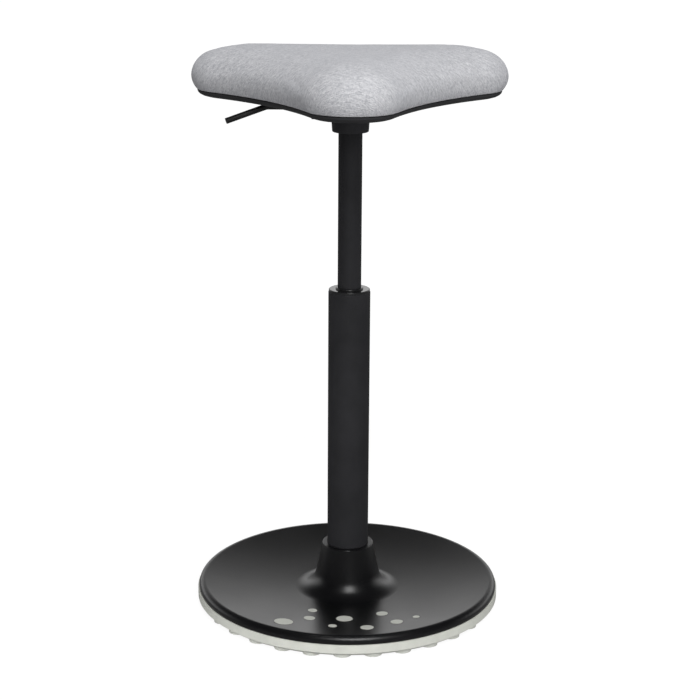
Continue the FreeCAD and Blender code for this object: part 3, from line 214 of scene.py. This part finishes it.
def inner_points(ring, spacing):
    """Even points inside a closed ring, and the triangles that join ring and points."""
    low, high = ring.min(0), ring.max(0)
    rows = []
    level, odd = low[1], False
    while level < high[1]:
        start = low[0] + (spacing / 2 if odd else 0)
        rows += [(across, level) for across in np.arange(start, high[0], spacing)]
        level += spacing * math.sqrt(3) / 2
        odd = not odd
    spots = np.array(rows)
    following = np.roll(ring, -1, 0)
    heights = spots[:, None, 1]
    crossings = (ring[None, :, 1] > heights) != (following[None, :, 1] > heights)
    rise = following[:, 1] - ring[:, 1]
    rise = np.where(np.abs(rise) < TINY, TINY, rise)
    reach = ring[:, 0] + (heights - ring[:, 1]) * (following[:, 0] - ring[:, 0]) / rise
    inside = ((crossings & (spots[:, None, 0] < reach)).sum(1) % 2) == 1
    clear = np.linalg.norm(spots[:, None] - ring[None], axis=2).min(1)
    kept = inside & (clear > spacing * CLEARANCE)
    points = np.vstack([ring, spots[kept]])
    count = len(ring)
    edges = [(index, (index + 1) % count) for index in range(count)]
    corners = [Vector(point) for point in points]
    triangles = delaunay_2d_cdt(corners, edges, [], KEEP_INSIDE, SAME_POINT)[2]
    return points, triangles, np.concatenate([np.zeros(count), clear[kept]])


# Padded seat

# Stops of the rings over the rolled edge in degrees, then as shares of the side and of the hem.
ROLL_STOPS = (86, 80, 73, 66, 59, 52, 45, 38, 31, 24, 17, 10, 4)
SIDE_STOPS = (0.05, 0.25, 0.45, 0.62, 0.76, 0.88)
HEM_STOPS = (0.3, 0.65, 0.97)

# Triangles of the top in steps of the mesh, and of the board's bed in triangles of the top.
TOP_SPACING = 1.25
BED_SPACING = 3

# The top rises to its crown within a few times this width, in metres.
CROWN_RUN = 0.02

CLOTH = {
    "quality": 6,
    "mass": 0.3,
    "tension_stiffness": 25,
    "compression_stiffness": 25,
    "shear_stiffness": 10,
    "bending_stiffness": 1.5,
}

# The cloth is held below its widest line, and comes free over this height round it.
FREEING_HEIGHT = 0.012

# Gathers at the hem, in metres: how fast their waves follow along the outline. They are full within the
# first height above the foot or below it, and end at the second height above it.
GATHER, GATHER_DRIFT, GATHER_SWELL = 0.0031, 0.019, 0.0074
GATHER_FULL = 0.001
GATHER_END = 0.012


def pad_profile(shape):
    """Inset and height of each ring of the pad, from the top inward edge of its roll down to the hem
    and on inside it to the hollow for the board."""
    rings = []
    for degrees in ROLL_STOPS:
        turn = math.radians(degrees)
        rise = shape.roll_height * math.sin(turn)
        rings.append((shape.roll_width * (1 - math.cos(turn)), shape.widest + rise))
    for part in SIDE_STOPS:
        rings.append((shape.tuck * part ** 2, shape.widest - part * (shape.widest - shape.foot)))
    # The cloth folds round the foot, runs along the hem, and its bed for the board closes the pad.
    fold = shape.tuck
    rings += [
        (fold - 0.0006, shape.foot + 0.0009),
        (fold + 0.0001, shape.foot + 0.0003),
        (fold + 0.0012, shape.foot),
    ]
    for part in HEM_STOPS:
        rings.append((fold + shape.hem * part, shape.foot))
    rings += [
        (fold + shape.hem, shape.foot + 0.0006),
        (fold + shape.hem, shape.foot + 0.0014),
        (shape.board_inset + 0.004, shape.foot + 0.0016),
        (shape.board_inset, shape.foot + 0.0016),
        (shape.board_inset, shape.board_top - 0.0005),
        (shape.board_inset + 0.0005, shape.board_top),
    ]
    return rings


def build_pad(shape):
    """Closed mesh of the pad with its cloth laid out flat as a UV map, with the outline and the number of
    rings.
    """
    outline = Outline(shape, shape.mesh_step)
    profile = pad_profile(shape)
    count = outline.count
    places, flat = [], []
    reach = 0.0
    last = profile[0]
    inner = outline.at(profile[0][0])
    for inset, level in profile:
        reach += math.hypot(inset - last[0], level - last[1])
        last = (inset, level)
        ring = outline.at(inset)
        places += [(x, y, level) for x, y in ring]
        flat += [tuple(p) for p in inner + outline.outward * reach]
    faces = []
    for row in range(len(profile) - 1):
        for index in range(count):
            follower = (index + 1) % count
            here, there = row * count, (row + 1) * count
            faces.append((here + index, there + index, there + follower, here + follower))

    spacing = shape.mesh_step * TOP_SPACING
    points, triangles, clear = inner_points(inner, spacing)
    first = len(places)
    rim_level = profile[0][1]
    for (x, y), depth in zip(points[count:], clear[count:]):
        places.append((x, y, rim_level + shape.crown * (1 - math.exp(-depth / CROWN_RUN))))
        flat.append((x, y))
    for triangle in triangles:
        faces.append(tuple(corner if corner < count else first + corner - count for corner in triangle))

    bed = outline.at(profile[-1][0])
    points, triangles, _ = inner_points(bed, spacing * BED_SPACING)
    first = len(places)
    last_row = (len(profile) - 1) * count
    for x, y in points[count:]:
        places.append((x, y, profile[-1][1]))
        flat.append((x, y))
    for triangle in triangles:
        corners = [last_row + corner if corner < count else first + corner - count for corner in triangle]
        faces.append(tuple(reversed(corners)))

    mesh = bpy.data.meshes.new("seat_cushion")
    mesh.from_pydata(places, [], faces)
    cloth_map = mesh.uv_layers.new(name="cloth")
    corners = np.empty(len(mesh.loops), int)
    mesh.loops.foreach_get("vertex_index", corners)
    cloth_map.data.foreach_set("uv", np.array(flat)[corners].ravel())
    mesh.polygons.foreach_set("use_smooth", [True] * len(mesh.polygons))
    mesh.update()
    return mesh, outline, len(profile)


def points_of(mesh):
    flat = np.empty(len(mesh.vertices) * 3)
    mesh.vertices.foreach_get("co", flat)
    return flat.reshape(-1, 3)


def tighten_cloth(pad, shape):
    """Blows the pad up a little against its own cloth, so that the cloth is taut between the lobes."""
    mesh = pad.data
    rest = points_of(mesh)
    held = pad.vertex_groups.new(name="held")
    for index, place in enumerate(rest):
        free = (place[2] - shape.widest + FREEING_HEIGHT / 2) / FREEING_HEIGHT
        held.add([index], 1 - min(1, max(0, free)), "REPLACE")
    cloth = pad.modifiers.new("taut_cloth", "CLOTH")
    settings = cloth.settings
    for name, value in CLOTH.items():
        setattr(settings, name, value)
    settings.vertex_group_mass = "held"
    settings.use_pressure = True
    settings.uniform_pressure_force = shape.pressure
    settings.effector_weights.gravity = 0
    cloth.collision_settings.use_collision = False
    scene = bpy.context.scene
    cloth.point_cache.frame_end = shape.cloth_frames
    for step in range(1, shape.cloth_frames + 1):
        scene.frame_set(step)
    shaped = pad.evaluated_get(bpy.context.evaluated_depsgraph_get()).to_mesh()
    moved = points_of(shaped) - rest
    pad.modifiers.remove(cloth)
    scene.frame_set(1)
    size = np.linalg.norm(moved, axis=1, keepdims=True)
    largest = shape.cloth_cap
    moved *= largest * np.tanh(size / largest) / np.maximum(size, TINY)
    return rest + moved


def gather_hem(places, outline, shape):
    """Small puckers above the hem, where the cloth is drawn in under the board."""
    for index in range(outline.count):
        along = index * shape.mesh_step
        wave = math.sin(along / GATHER + 1.3 * math.sin(along / GATHER_DRIFT))
        wave += 0.6 * math.sin(along / GATHER_SWELL + 2)
        for place in range(index, len(places), outline.count):
            level = places[place][2] - shape.foot
            if -GATHER_FULL < level < GATHER_END:
                strength = 1 - max(0, level - GATHER_FULL) / (GATHER_END - GATHER_FULL)
                depth = shape.pucker * (0.5 + 0.5 * wave) * strength ** 2
                places[place][:2] -= outline.outward[index] * depth


def linked(item):
    bpy.context.scene.collection.objects.link(item)
    return item


class Upholster(bpy.types.Operator):
    """Shapes the padded seat, tightens its cloth and covers it in woven fabric"""

    bl_idname = "perch.upholster"
    bl_label = "Upholster the seat"

    def execute(self, context):
        shape = context.scene.perch_seat
        mesh, outline, ring_count = build_pad(shape)
        pad = linked(bpy.data.objects.new("seat_cushion", mesh))
        places = tighten_cloth(pad, shape)
        walls = outline.count * ring_count
        gather_hem(places[:walls], outline, shape)
        mesh.vertices.foreach_set("co", places.ravel())
        mesh.update()
        pad.vertex_groups.clear()
        smooth = pad.modifiers.new("smooth", "SUBSURF")
        smooth.levels = 1
        smooth.render_levels = 1
        mesh.materials.append(woven_cloth(context.scene.perch_finishes))
        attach(pad, "seat")
        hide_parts("seat_cover", "seat_foam")
        return {"FINISHED"}


# Node trees


def combine(tree, operation, first, second):
    """Math node with two sockets or numbers as its input."""
    item = tree.nodes.new("ShaderNodeMath")
    item.operation = operation
    for socket, value in zip(item.inputs, (first, second)):
        if isinstance(value, bpy.types.NodeSocket):
            tree.links.new(value, socket)
        else:
            socket.default_value = value
    return item.outputs["Value"]


def map_range(tree, value, low, high, start, end, kind="LINEAR"):
    """Maps a value from the range low to high onto start to end."""
    item = tree.nodes.new("ShaderNodeMapRange")
    item.interpolation_type = kind
    for socket, number in zip(("From Min", "From Max", "To Min", "To Max"), (low, high, start, end)):
        item.inputs[socket].default_value = number
    tree.links.new(value, item.inputs["Value"])
    return item.outputs["Result"]


# Finishes

# Noise seldom leaves this range, so it is spread from here to the full range.
NOISE_LOW, NOISE_HIGH = 0.3, 0.7

# Spacing in metres of the cloth's ribs and of the threads across them, and of a dark and a pale veneer.
RIB_SPACING = 0.0022
CROSSING_SPACING = 0.0031
VENEER_PAIR = 0.0029
RUST = (0.13, 0.055, 0.025)


class Finish:
    """A material with a Principled shader, and short ways to add and join its nodes."""

    def __init__(self, name, base, roughness, metallic=0.0, specular=0.5):
        self.material = bpy.data.materials.new(name)
        self.material.use_nodes = True
        self.tree = self.material.node_tree
        self.shader = self.tree.nodes["Principled BSDF"]
        self.set("Base Color", (*base, 1))
        self.set("Roughness", roughness)
        self.set("Metallic", metallic)
        self.set("Specular IOR Level", specular)
        self.place = None

    def set(self, socket, value):
        self.shader.inputs[socket].default_value = value

    def node(self, kind, **values):
        item = self.tree.nodes.new(kind)
        for name, value in values.items():
            if name in item.inputs:
                item.inputs[name].default_value = value
            else:
                setattr(item, name, value)
        return item

    def join(self, start, end):
        self.tree.links.new(start, end)

    def coordinates(self, scale=(1, 1, 1), flat=False):
        """Object coordinates in metres, or the cloth laid flat, times a scale."""
        if self.place is None:
            kind = "ShaderNodeUVMap" if flat else "ShaderNodeTexCoord"
            self.place = self.tree.nodes.new(kind)
            if flat:
                self.place.uv_map = "cloth"
        source = self.place.outputs["UV" if flat else "Object"]
        mapping = self.node("ShaderNodeMapping")
        mapping.inputs["Scale"].default_value = scale
        self.join(source, mapping.inputs["Vector"])
        return mapping.outputs["Vector"]

    def noise(self, scale, stretch=(1, 1, 1), detail=3.0, roughness=0.5, flat=False):
        """Noise with a number of features in a metre."""
        noise = self.node("ShaderNodeTexNoise", Scale=scale, Detail=detail, Roughness=roughness)
        self.join(self.coordinates(stretch, flat), noise.inputs["Vector"])
        return noise.outputs["Fac"]

    def spread(self, value, low, high, start=0.0, end=1.0):
        return map_range(self.tree, value, low, high, start, end)

    def spread_noise(self, value, start=0.0, end=1.0):
        """Spreads noise over the range from start to end."""
        return self.spread(value, NOISE_LOW, NOISE_HIGH, start, end)

    def math(self, operation, first, second):
        return combine(self.tree, operation, first, second)

    def waves(self, value, spacing):
        """Sine waves at a spacing in metres."""
        return self.math("SINE", self.math("MULTIPLY", value, 2 * math.pi / spacing), 0.0)

    def parts(self, vector):
        """The three parts of a vector, as the sockets X, Y and Z."""
        split = self.node("ShaderNodeSeparateXYZ")
        self.join(vector, split.inputs["Vector"])
        return split.outputs

    def blend(self, factor, first, second):
        """Colour between two colours."""
        mix = self.node("ShaderNodeMix", data_type="RGBA")
        for key, value in (("Factor", factor), (6, first), (7, second)):
            socket = mix.inputs[key]
            if isinstance(value, bpy.types.NodeSocket):
                self.join(value, socket)
            else:
                socket.default_value = value if isinstance(value, float) else (*value, 1)
        return mix.outputs[2]

    def mottle(self, noise, base, dark, light):
        """Colour that follows noise from a darker to a lighter shade of a base colour."""
        return self.blend(self.spread_noise(noise), shades(base, dark), shades(base, light))

    def bump(self, height, strength, distance):
        bump = self.node("ShaderNodeBump", Strength=strength, Distance=distance)
        self.join(height, bump.inputs["Height"])
        self.join(bump.outputs["Normal"], self.shader.inputs["Normal"])

    def colour(self, socket):
        self.join(socket, self.shader.inputs["Base Color"])

    def roughness(self, socket):
        self.join(socket, self.shader.inputs["Roughness"])

    def facing_up(self):
        """1 on faces that look straight up, 0 elsewhere."""
        geometry = self.node("ShaderNodeNewGeometry")
        turn = self.node("ShaderNodeVectorTransform", vector_type="NORMAL", convert_from="WORLD",
                         convert_to="OBJECT")
        self.join(geometry.outputs["True Normal"], turn.inputs["Vector"])
        return self.spread(self.parts(turn.outputs["Vector"])["Z"], 0.97, 0.995)


def shades(base, factor):
    return tuple(min(1.0, part * factor) for part in base)


def woven_cloth(colours):
    """Melange upholstery cloth: pale and dark threads that run across the seat, with a fine rib."""
    cloth = Finish("woven_cloth", colours.thread_light, roughness=0.92, specular=0.2)
    cloth.set("Sheen Weight", 0.22)
    cloth.set("Sheen Roughness", 0.45)
    cloth.set("Sheen Tint", (0.9, 0.92, 1, 1))
    flecks = cloth.noise(1, (260, 700, 1), detail=2.0, roughness=0.55, flat=True)
    slubs = cloth.noise(1, (90, 330, 1), detail=2.0, flat=True)
    weft = cloth.noise(1, (900, 260, 1), detail=1.0, flat=True)
    cloudy = cloth.noise(1, (22, 22, 1), detail=2.0, flat=True)
    thread = cloth.spread_noise(flecks, -0.5, 0.5)
    for noise, reach in ((slubs, 0.3), (weft, 0.18), (cloudy, 0.08)):
        thread = cloth.math("ADD", thread, cloth.spread_noise(noise, -reach, reach))
    tone = cloth.spread(thread, -0.55, 0.55)
    cloth.colour(cloth.blend(tone, colours.thread_dark, colours.thread_light))
    parts = cloth.parts(cloth.coordinates(flat=True))
    ribs = cloth.waves(parts["Y"], RIB_SPACING)
    crossing = cloth.waves(parts["X"], CROSSING_SPACING)
    weave = cloth.math("MULTIPLY", ribs, cloth.spread(crossing, -1, 1, 0.4, 1.0))
    relief = cloth.math("ADD", cloth.math("MULTIPLY", weave, 0.35), thread)
    cloth.bump(relief, strength=0.6, distance=0.0006)
    return cloth.material


def powder_coat(name, base):
    """Fine-textured black powder coating."""
    coat = Finish(name, base, roughness=0.6, specular=0.12)
    grain = coat.noise(2600, detail=2.0)
    cloudy = coat.noise(22)
    coat.colour(coat.mottle(cloudy, base, dark=0.85, light=1.2))
    coat.roughness(coat.spread_noise(cloudy, 0.55, 0.64))
    coat.bump(grain, strength=0.25, distance=0.00012)
    return coat.material


def moulded_plastic(name, base, low, high, specular=0.45, top_gloss=None):
    """Black moulded plastic: fine grain on the sides, and polished level faces where asked."""
    plastic = Finish(name, base, low, specular=specular)
    grain = plastic.noise(3400, detail=2.0)
    cloudy = plastic.noise(14, detail=4.0)
    plastic.colour(plastic.mottle(cloudy, base, dark=0.85, light=1.2))
    rough = plastic.spread_noise(cloudy, low, high)
    if top_gloss is not None:
        mix = plastic.node("ShaderNodeMix", data_type="FLOAT")
        plastic.join(plastic.facing_up(), mix.inputs["Factor"])
        plastic.join(rough, mix.inputs[2])
        mix.inputs[3].default_value = top_gloss
        rough = mix.outputs[0]
    plastic.roughness(rough)
    plastic.bump(grain, strength=0.2, distance=0.00008)
    return plastic.material


def pale_rubber(base):
    """Pale grey moulded rubber with a slight mottle and faint scuffs."""
    rubber = Finish("pale_rubber", base, roughness=0.62, specular=0.35)
    cloudy = rubber.noise(60, detail=4.0)
    scuffs = rubber.noise(1, (420, 420, 90), roughness=0.6)
    mottled = rubber.mottle(cloudy, base, dark=0.93, light=1.04)
    marks = rubber.spread(scuffs, 0.66, 0.8, 0.0, 0.25)
    rubber.colour(rubber.blend(marks, mottled, shades(base, 0.6)))
    rubber.roughness(rubber.spread_noise(cloudy, 0.55, 0.7))
    rubber.bump(rubber.noise(1500, detail=2.0), strength=0.25, distance=0.0001)
    return rubber.material


def black_rubber(base):
    """Black seal rubber with a faint bloom."""
    rubber = Finish("black_rubber", base, roughness=0.6, specular=0.4)
    bloom = rubber.noise(180, detail=4.0)
    rubber.colour(rubber.blend(rubber.spread(bloom, 0.45, 0.75), base, shades(base, 2.2)))
    rubber.bump(rubber.noise(2400, detail=2.0), strength=0.3, distance=0.00008)
    return rubber.material


def lever_coat(base):
    """Black enamel on the lever, worn a little smoother where it is held."""
    enamel = Finish("lever_coat", base, roughness=0.4, specular=0.4)
    across = enamel.parts(enamel.coordinates())["X"]
    worn = enamel.spread(across, -0.1, -0.14)
    enamel.roughness(enamel.spread(worn, 0, 1, 0.46, 0.34))
    enamel.colour(enamel.mottle(enamel.noise(90), base, dark=1, light=1.5))
    enamel.bump(enamel.noise(900), strength=0.2, distance=0.0001)
    return enamel.material


def cast_iron(base):
    """Rough sand-cast iron under a thin paint, with rusty pits."""
    iron = Finish("cast_iron", base, roughness=0.7, metallic=0.4)
    pits = iron.noise(260, detail=5.0, roughness=0.65)
    rust = iron.spread(iron.noise(35, detail=4.0), 0.6, 0.75, 0.0, 0.5)
    painted = iron.mottle(pits, base, dark=0.7, light=1.3)
    iron.colour(iron.blend(rust, painted, RUST))
    iron.roughness(iron.spread_noise(pits, 0.6, 0.85))
    iron.bump(pits, strength=0.6, distance=0.0006)
    return iron.material


def plated_steel(name, base, low, high):
    """Plated or ground metal with fine turning lines and slight stains."""
    metal = Finish(name, base, low, metallic=1.0)
    lines = metal.noise(1, (300, 300, 4200), roughness=0.6)
    stains = metal.noise(120, detail=4.0)
    metal.colour(metal.blend(metal.spread(stains, 0.35, 0.7), base, shades(base, 0.8)))
    metal.roughness(metal.spread_noise(lines, low, high))
    metal.bump(lines, strength=0.15, distance=0.00005)
    return metal.material


def natural_plastic(base):
    """Undyed nylon, slightly waxy."""
    nylon = Finish("natural_plastic", base, roughness=0.4, specular=0.4)
    nylon.set("Subsurface Weight", 0.2)
    nylon.set("Subsurface Scale", 0.002)
    nylon.colour(nylon.mottle(nylon.noise(140), base, dark=0.95, light=1))
    nylon.bump(nylon.noise(900), strength=0.15, distance=0.0001)
    return nylon.material


def birch_plywood(base):
    """Plywood: veneer grain on its faces and dark and pale layers on its edge."""
    wood = Finish("birch_plywood", base, roughness=0.55, specular=0.3)
    grain = wood.noise(1, (34, 420, 34), detail=5.0, roughness=0.6)
    faces = wood.mottle(grain, base, dark=0.75, light=1.12)
    layers = wood.waves(wood.parts(wood.coordinates())["Z"], VENEER_PAIR)
    edge = wood.blend(wood.spread(layers, -0.2, 0.2), shades(base, 0.5), base)
    geometry = wood.node("ShaderNodeNewGeometry")
    facing = wood.parts(geometry.outputs["True Normal"])["Z"]
    level = wood.spread(wood.math("ABSOLUTE", facing, 0.0), 0.4, 0.6)
    wood.colour(wood.blend(level, edge, faces))
    wood.bump(grain, strength=0.3, distance=0.0002)
    return wood.material


def give(material, *names):
    for name in names:
        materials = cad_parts[name].data.materials
        materials.clear()
        materials.append(material)


class FinishSeat(bpy.types.Operator):
    """Gives the shell, plate, board and lever under the seat their finishes"""

    bl_idname = "perch.finish_seat"
    bl_label = "Finish the seat's underside"

    def execute(self, context):
        colours = context.scene.perch_finishes
        give(moulded_plastic("shell_plastic", colours.shell, 0.48, 0.6, specular=0.2), "seat_shell")
        give(powder_coat("plate_paint", colours.steel_paint), "seat_plate")
        give(birch_plywood(colours.birch), "seat_board")
        give(lever_coat(colours.lever), "release_lever")
        return {"FINISHED"}


class FinishColumn(bpy.types.Operator):
    """Gives the two tubes and the guide bush of the column their finishes"""

    bl_idname = "perch.finish_column"
    bl_label = "Finish the column"

    def execute(self, context):
        colours = context.scene.perch_finishes
        give(powder_coat("tube_coat", colours.tube), "standing_tube", "pressure_tube")
        give(moulded_plastic("bush_plastic", colours.bush, 0.25, 0.35, top_gloss=0.08), "guide_bush")
        return {"FINISHED"}


class FinishBase(bpy.types.Operator):
    """Gives the dish, the sole, the studs and the cast weight their finishes"""

    bl_idname = "perch.finish_base"
    bl_label = "Finish the base"

    def execute(self, context):
        colours = context.scene.perch_finishes
        give(moulded_plastic("dish_plastic", colours.dish, 0.29, 0.34, specular=0.5), "base_cover")
        give(pale_rubber(colours.sole), "base_sole", "grip_dots")
        give(cast_iron(colours.iron), "base_weight")
        return {"FINISHED"}


class FinishHardware(bpy.types.Operator):
    """Gives fasteners, bearing and the inside of the gas spring their finishes"""

    bl_idname = "perch.finish_hardware"
    bl_label = "Finish the hardware"

    def execute(self, context):
        colours = context.scene.perch_finishes
        zinc = plated_steel("zinc_plate", colours.zinc, 0.3, 0.45)
        give(zinc, "cover_screws", "shell_screws", "plate_bolts", "plate_washers", "tee_nuts", "lever_pin",
             "pin_clips", "rod_washer", "rod_clip", "guide_washer", "inner_cylinder")
        steel = plated_steel("ground_steel", colours.steel, 0.12, 0.22)
        give(steel, "piston_rod", "bearing_balls", "lower_race", "upper_race", "release_pin")
        aluminium = plated_steel("turned_aluminium", colours.aluminium, 0.25, 0.4)
        give(aluminium, "piston", "valve_body", "ball_cage")
        give(black_rubber(colours.seal), "rod_seal", "piston_ring", "rubber_bumper")
        give(natural_plastic(colours.guide), "rod_guide")
        return {"FINISHED"}


# Studio

# Softboxes: name, width and height, place, and the point that each is aimed at, in metres.
SOFTBOXES = (
    ("front", (0.9, 1.6), (0.25, -1.95, 1.85), (0, 0, 0.4)),
    ("top", (0.5, 0.5), (0, 0.1, 2.2), (0, 0, 0.4)),
    ("right", (0.8, 0.8), (1.6, -1.2, 0.8), (0, 0, 0.6)),
    ("left", (0.4, 0.2), (-0.9, -0.7, 0.15), (-0.1, -0.1, 0)),
    ("low", (0.6, 0.2), (0.1, -1.1, 0.15), (0, -0.2, 0)),
    ("bounce", (2, 0.5), (0, -1.3, 0.05), (0, 0, 0.7)),
)
SEEN_IN_GLOSS = {"front", "top"}
NARROW_BEAM = {"left", "low"}

WHITE = (1, 1, 1, 1)
FLOOR_RADIUS = 30
FLOOR_DROP = 0.0002
FLOOR_ROUGHNESS = 0.9
FLOOR_IN_GLOSS = 0.1

# The floor's glow fades in between these distances from the column, and the backdrop between these depths
# of the direction of sight.
GLOW_STARTS, GLOW_FULL = 0.3, 2.0
BACKDROP_STARTS, BACKDROP_FULL = -0.1, 0.5

SENSOR_WIDTH = 36
FARTHEST_SEEN = 100


def place_softbox(studio, name, size, place, aim):
    lamp = bpy.data.lights.new(name + "_softbox", "AREA")
    lamp.shape = "RECTANGLE"
    lamp.size, lamp.size_y = size
    lamp.energy = getattr(studio, name + "_power")
    if name in NARROW_BEAM:
        lamp.spread = studio.low_spread
    item = linked(bpy.data.objects.new(name + "_softbox", lamp))
    item.location = place
    item.rotation_euler = (Vector(aim) - Vector(place)).to_track_quat("-Z", "Y").to_euler()
    item.visible_camera = False
    item.visible_glossy = name in SEEN_IN_GLOSS


def fade(tree, value, start, end, low, high):
    """Runs smoothly from one level to another while a value goes from start to end."""
    return map_range(tree, value, start, end, low, high, kind="SMOOTHSTEP")


def seen_white(tree, in_reflections):
    """1 for what the camera sees straight, and a share of it for what shows in gloss or through glass."""
    path = tree.nodes.new("ShaderNodeLightPath")
    indirect = combine(tree, "MAXIMUM", path.outputs["Is Glossy Ray"], path.outputs["Is Transmission Ray"])
    return combine(tree, "MAXIMUM", path.outputs["Is Camera Ray"],
                   combine(tree, "MULTIPLY", indirect, in_reflections))


def white_world(studio):
    """White to the camera. Reflections show the white backdrop behind, and a dim ceiling and room."""
    world = bpy.data.worlds.new("studio")
    world.use_nodes = True
    tree = world.node_tree
    direction = tree.nodes.new("ShaderNodeTexCoord")
    parts = tree.nodes.new("ShaderNodeSeparateXYZ")
    tree.links.new(direction.outputs["Generated"], parts.inputs["Vector"])
    below_ceiling = fade(tree, parts.outputs["Z"], math.sin(studio.wall_top), math.sin(studio.ceiling),
                         studio.wall_level, studio.ceiling_level)
    behind = fade(tree, parts.outputs["Y"], BACKDROP_STARTS, BACKDROP_FULL, studio.ceiling_level, 1.0)
    path = tree.nodes.new("ShaderNodeLightPath")
    light = tree.nodes["Background"]
    light.inputs["Strength"].default_value = studio.ambient
    light.inputs["Color"].default_value = WHITE
    backdrop = tree.nodes.new("ShaderNodeBackground")
    backdrop.inputs["Color"].default_value = WHITE
    level = combine(tree, "MAXIMUM", path.outputs["Is Camera Ray"],
                    combine(tree, "MULTIPLY", below_ceiling, behind))
    tree.links.new(level, backdrop.inputs["Strength"])
    mix = tree.nodes.new("ShaderNodeMixShader")
    tree.links.new(seen_white(tree, 1.0), mix.inputs["Fac"])
    tree.links.new(light.outputs[0], mix.inputs[1])
    tree.links.new(backdrop.outputs[0], mix.inputs[2])
    tree.links.new(mix.outputs[0], tree.nodes["World Output"].inputs["Surface"])
    bpy.context.scene.world = world


def white_floor(studio):
    """White floor that keeps the stool's shadow. It is clear from below, and soft light comes up through it
    as if the floor threw it back."""
    mesh = bpy.data.meshes.new("studio_floor")
    disc = bmesh.new()
    bmesh.ops.create_circle(disc, cap_ends=True, segments=96, radius=FLOOR_RADIUS)
    disc.to_mesh(mesh)
    disc.free()
    floor = linked(bpy.data.objects.new("studio_floor", mesh))
    floor.location.z = -FLOOR_DROP
    material = bpy.data.materials.new("studio_floor")
    material.use_nodes = True
    tree = material.node_tree
    shader = tree.nodes["Principled BSDF"]
    shader.inputs["Base Color"].default_value = (*studio.floor, 1)
    shader.inputs["Roughness"].default_value = FLOOR_ROUGHNESS
    shader.inputs["Specular IOR Level"].default_value = 0
    glow = tree.nodes.new("ShaderNodeEmission")
    place = tree.nodes.new("ShaderNodeTexCoord")
    away = tree.nodes.new("ShaderNodeVectorMath")
    away.operation = "LENGTH"
    tree.links.new(place.outputs["Object"], away.inputs[0])
    level = fade(tree, away.outputs["Value"], GLOW_STARTS, GLOW_FULL, studio.floor_glow, 1.0)
    strength = combine(tree, "MULTIPLY", seen_white(tree, FLOOR_IN_GLOSS), level)
    tree.links.new(strength, glow.inputs["Strength"])
    both = tree.nodes.new("ShaderNodeAddShader")
    tree.links.new(shader.outputs[0], both.inputs[0])
    tree.links.new(glow.outputs[0], both.inputs[1])
    geometry = tree.nodes.new("ShaderNodeNewGeometry")
    from_below = tree.nodes.new("ShaderNodeMixShader")
    path = tree.nodes.new("ShaderNodeLightPath")
    bounced = combine(tree, "MAXIMUM", path.outputs["Is Diffuse Ray"], path.outputs["Is Shadow Ray"])
    clear = combine(tree, "MAXIMUM", geometry.outputs["Backfacing"], bounced)
    tree.links.new(clear, from_below.inputs["Fac"])
    tree.links.new(both.outputs[0], from_below.inputs[1])
    tree.links.new(tree.nodes.new("ShaderNodeBsdfTransparent").outputs[0], from_below.inputs[2])
    tree.links.new(from_below.outputs[0], tree.nodes["Material Output"].inputs["Surface"])
    mesh.materials.append(material)


def place_camera(studio):
    camera = linked(bpy.data.objects.new("photo_camera", bpy.data.cameras.new("photo_camera")))
    camera.data.lens = studio.lens
    camera.data.sensor_width = SENSOR_WIDTH
    camera.data.clip_end = FARTHEST_SEEN
    heading = studio.turn + studio.swing
    level = Vector((math.sin(heading), math.cos(heading), 0))
    ahead = level * math.cos(studio.pitch) - Vector((0, 0, math.sin(studio.pitch)))
    right = Vector((math.cos(heading), -math.sin(heading), 0))
    above = right.cross(ahead)
    leaning_up = above * math.cos(studio.roll) - right * math.sin(studio.roll)
    leaning_right = right * math.cos(studio.roll) + above * math.sin(studio.roll)
    turn = Matrix((leaning_right, leaning_up, -ahead)).transposed().to_4x4()
    place = Vector((-math.sin(studio.turn) * studio.distance, -math.cos(studio.turn) * studio.distance,
                    studio.height))
    camera.matrix_world = Matrix.Translation(place) @ turn
    bpy.context.scene.camera = camera


class SetStudio(bpy.types.Operator):
    """Sets the white floor and backdrop, the softboxes and the camera"""

    bl_idname = "perch.set_studio"
    bl_label = "Set the studio"

    def execute(self, context):
        studio = context.scene.perch_studio
        context.scene.view_settings.view_transform = "Standard"
        white_world(studio)
        white_floor(studio)
        for name, size, place, aim in SOFTBOXES:
            place_softbox(studio, name, size, place, aim)
        place_camera(studio)
        return {"FINISHED"}


STEPS = (Upholster, FinishSeat, FinishColumn, FinishBase, FinishHardware, SetStudio)
SETTINGS = (SeatShape, Finishes, Studio)


class StoolPanel(bpy.types.Panel):
    """Steps and settings of the perch stool"""

    bl_idname = "VIEW3D_PT_perch_stool"
    bl_label = "Perch stool"
    bl_space_type = "VIEW_3D"
    bl_region_type = "UI"
    bl_category = "Perch stool"

    def draw(self, context):
        for step in STEPS:
            self.layout.operator(step.bl_idname)
        for group in (context.scene.perch_seat, context.scene.perch_finishes, context.scene.perch_studio):
            box = self.layout.box()
            for name in group.bl_rna.properties.keys():
                if name not in {"rna_type", "name"}:
                    box.prop(group, name)


def register():
    for item in (*SETTINGS, *STEPS, StoolPanel):
        bpy.utils.register_class(item)
    bpy.types.Scene.perch_seat = PointerProperty(type=SeatShape)
    bpy.types.Scene.perch_finishes = PointerProperty(type=Finishes)
    bpy.types.Scene.perch_studio = PointerProperty(type=Studio)


def unregister():
    del bpy.types.Scene.perch_studio
    del bpy.types.Scene.perch_finishes
    del bpy.types.Scene.perch_seat
    for item in reversed((*SETTINGS, *STEPS, StoolPanel)):
        bpy.utils.unregister_class(item)


def main():
    register()
    bpy.ops.perch.upholster()
    bpy.ops.perch.finish_seat()
    bpy.ops.perch.finish_column()
    bpy.ops.perch.finish_base()
    bpy.ops.perch.finish_hardware()
    bpy.ops.perch.set_studio()


if __name__ == "__main__":
    main()
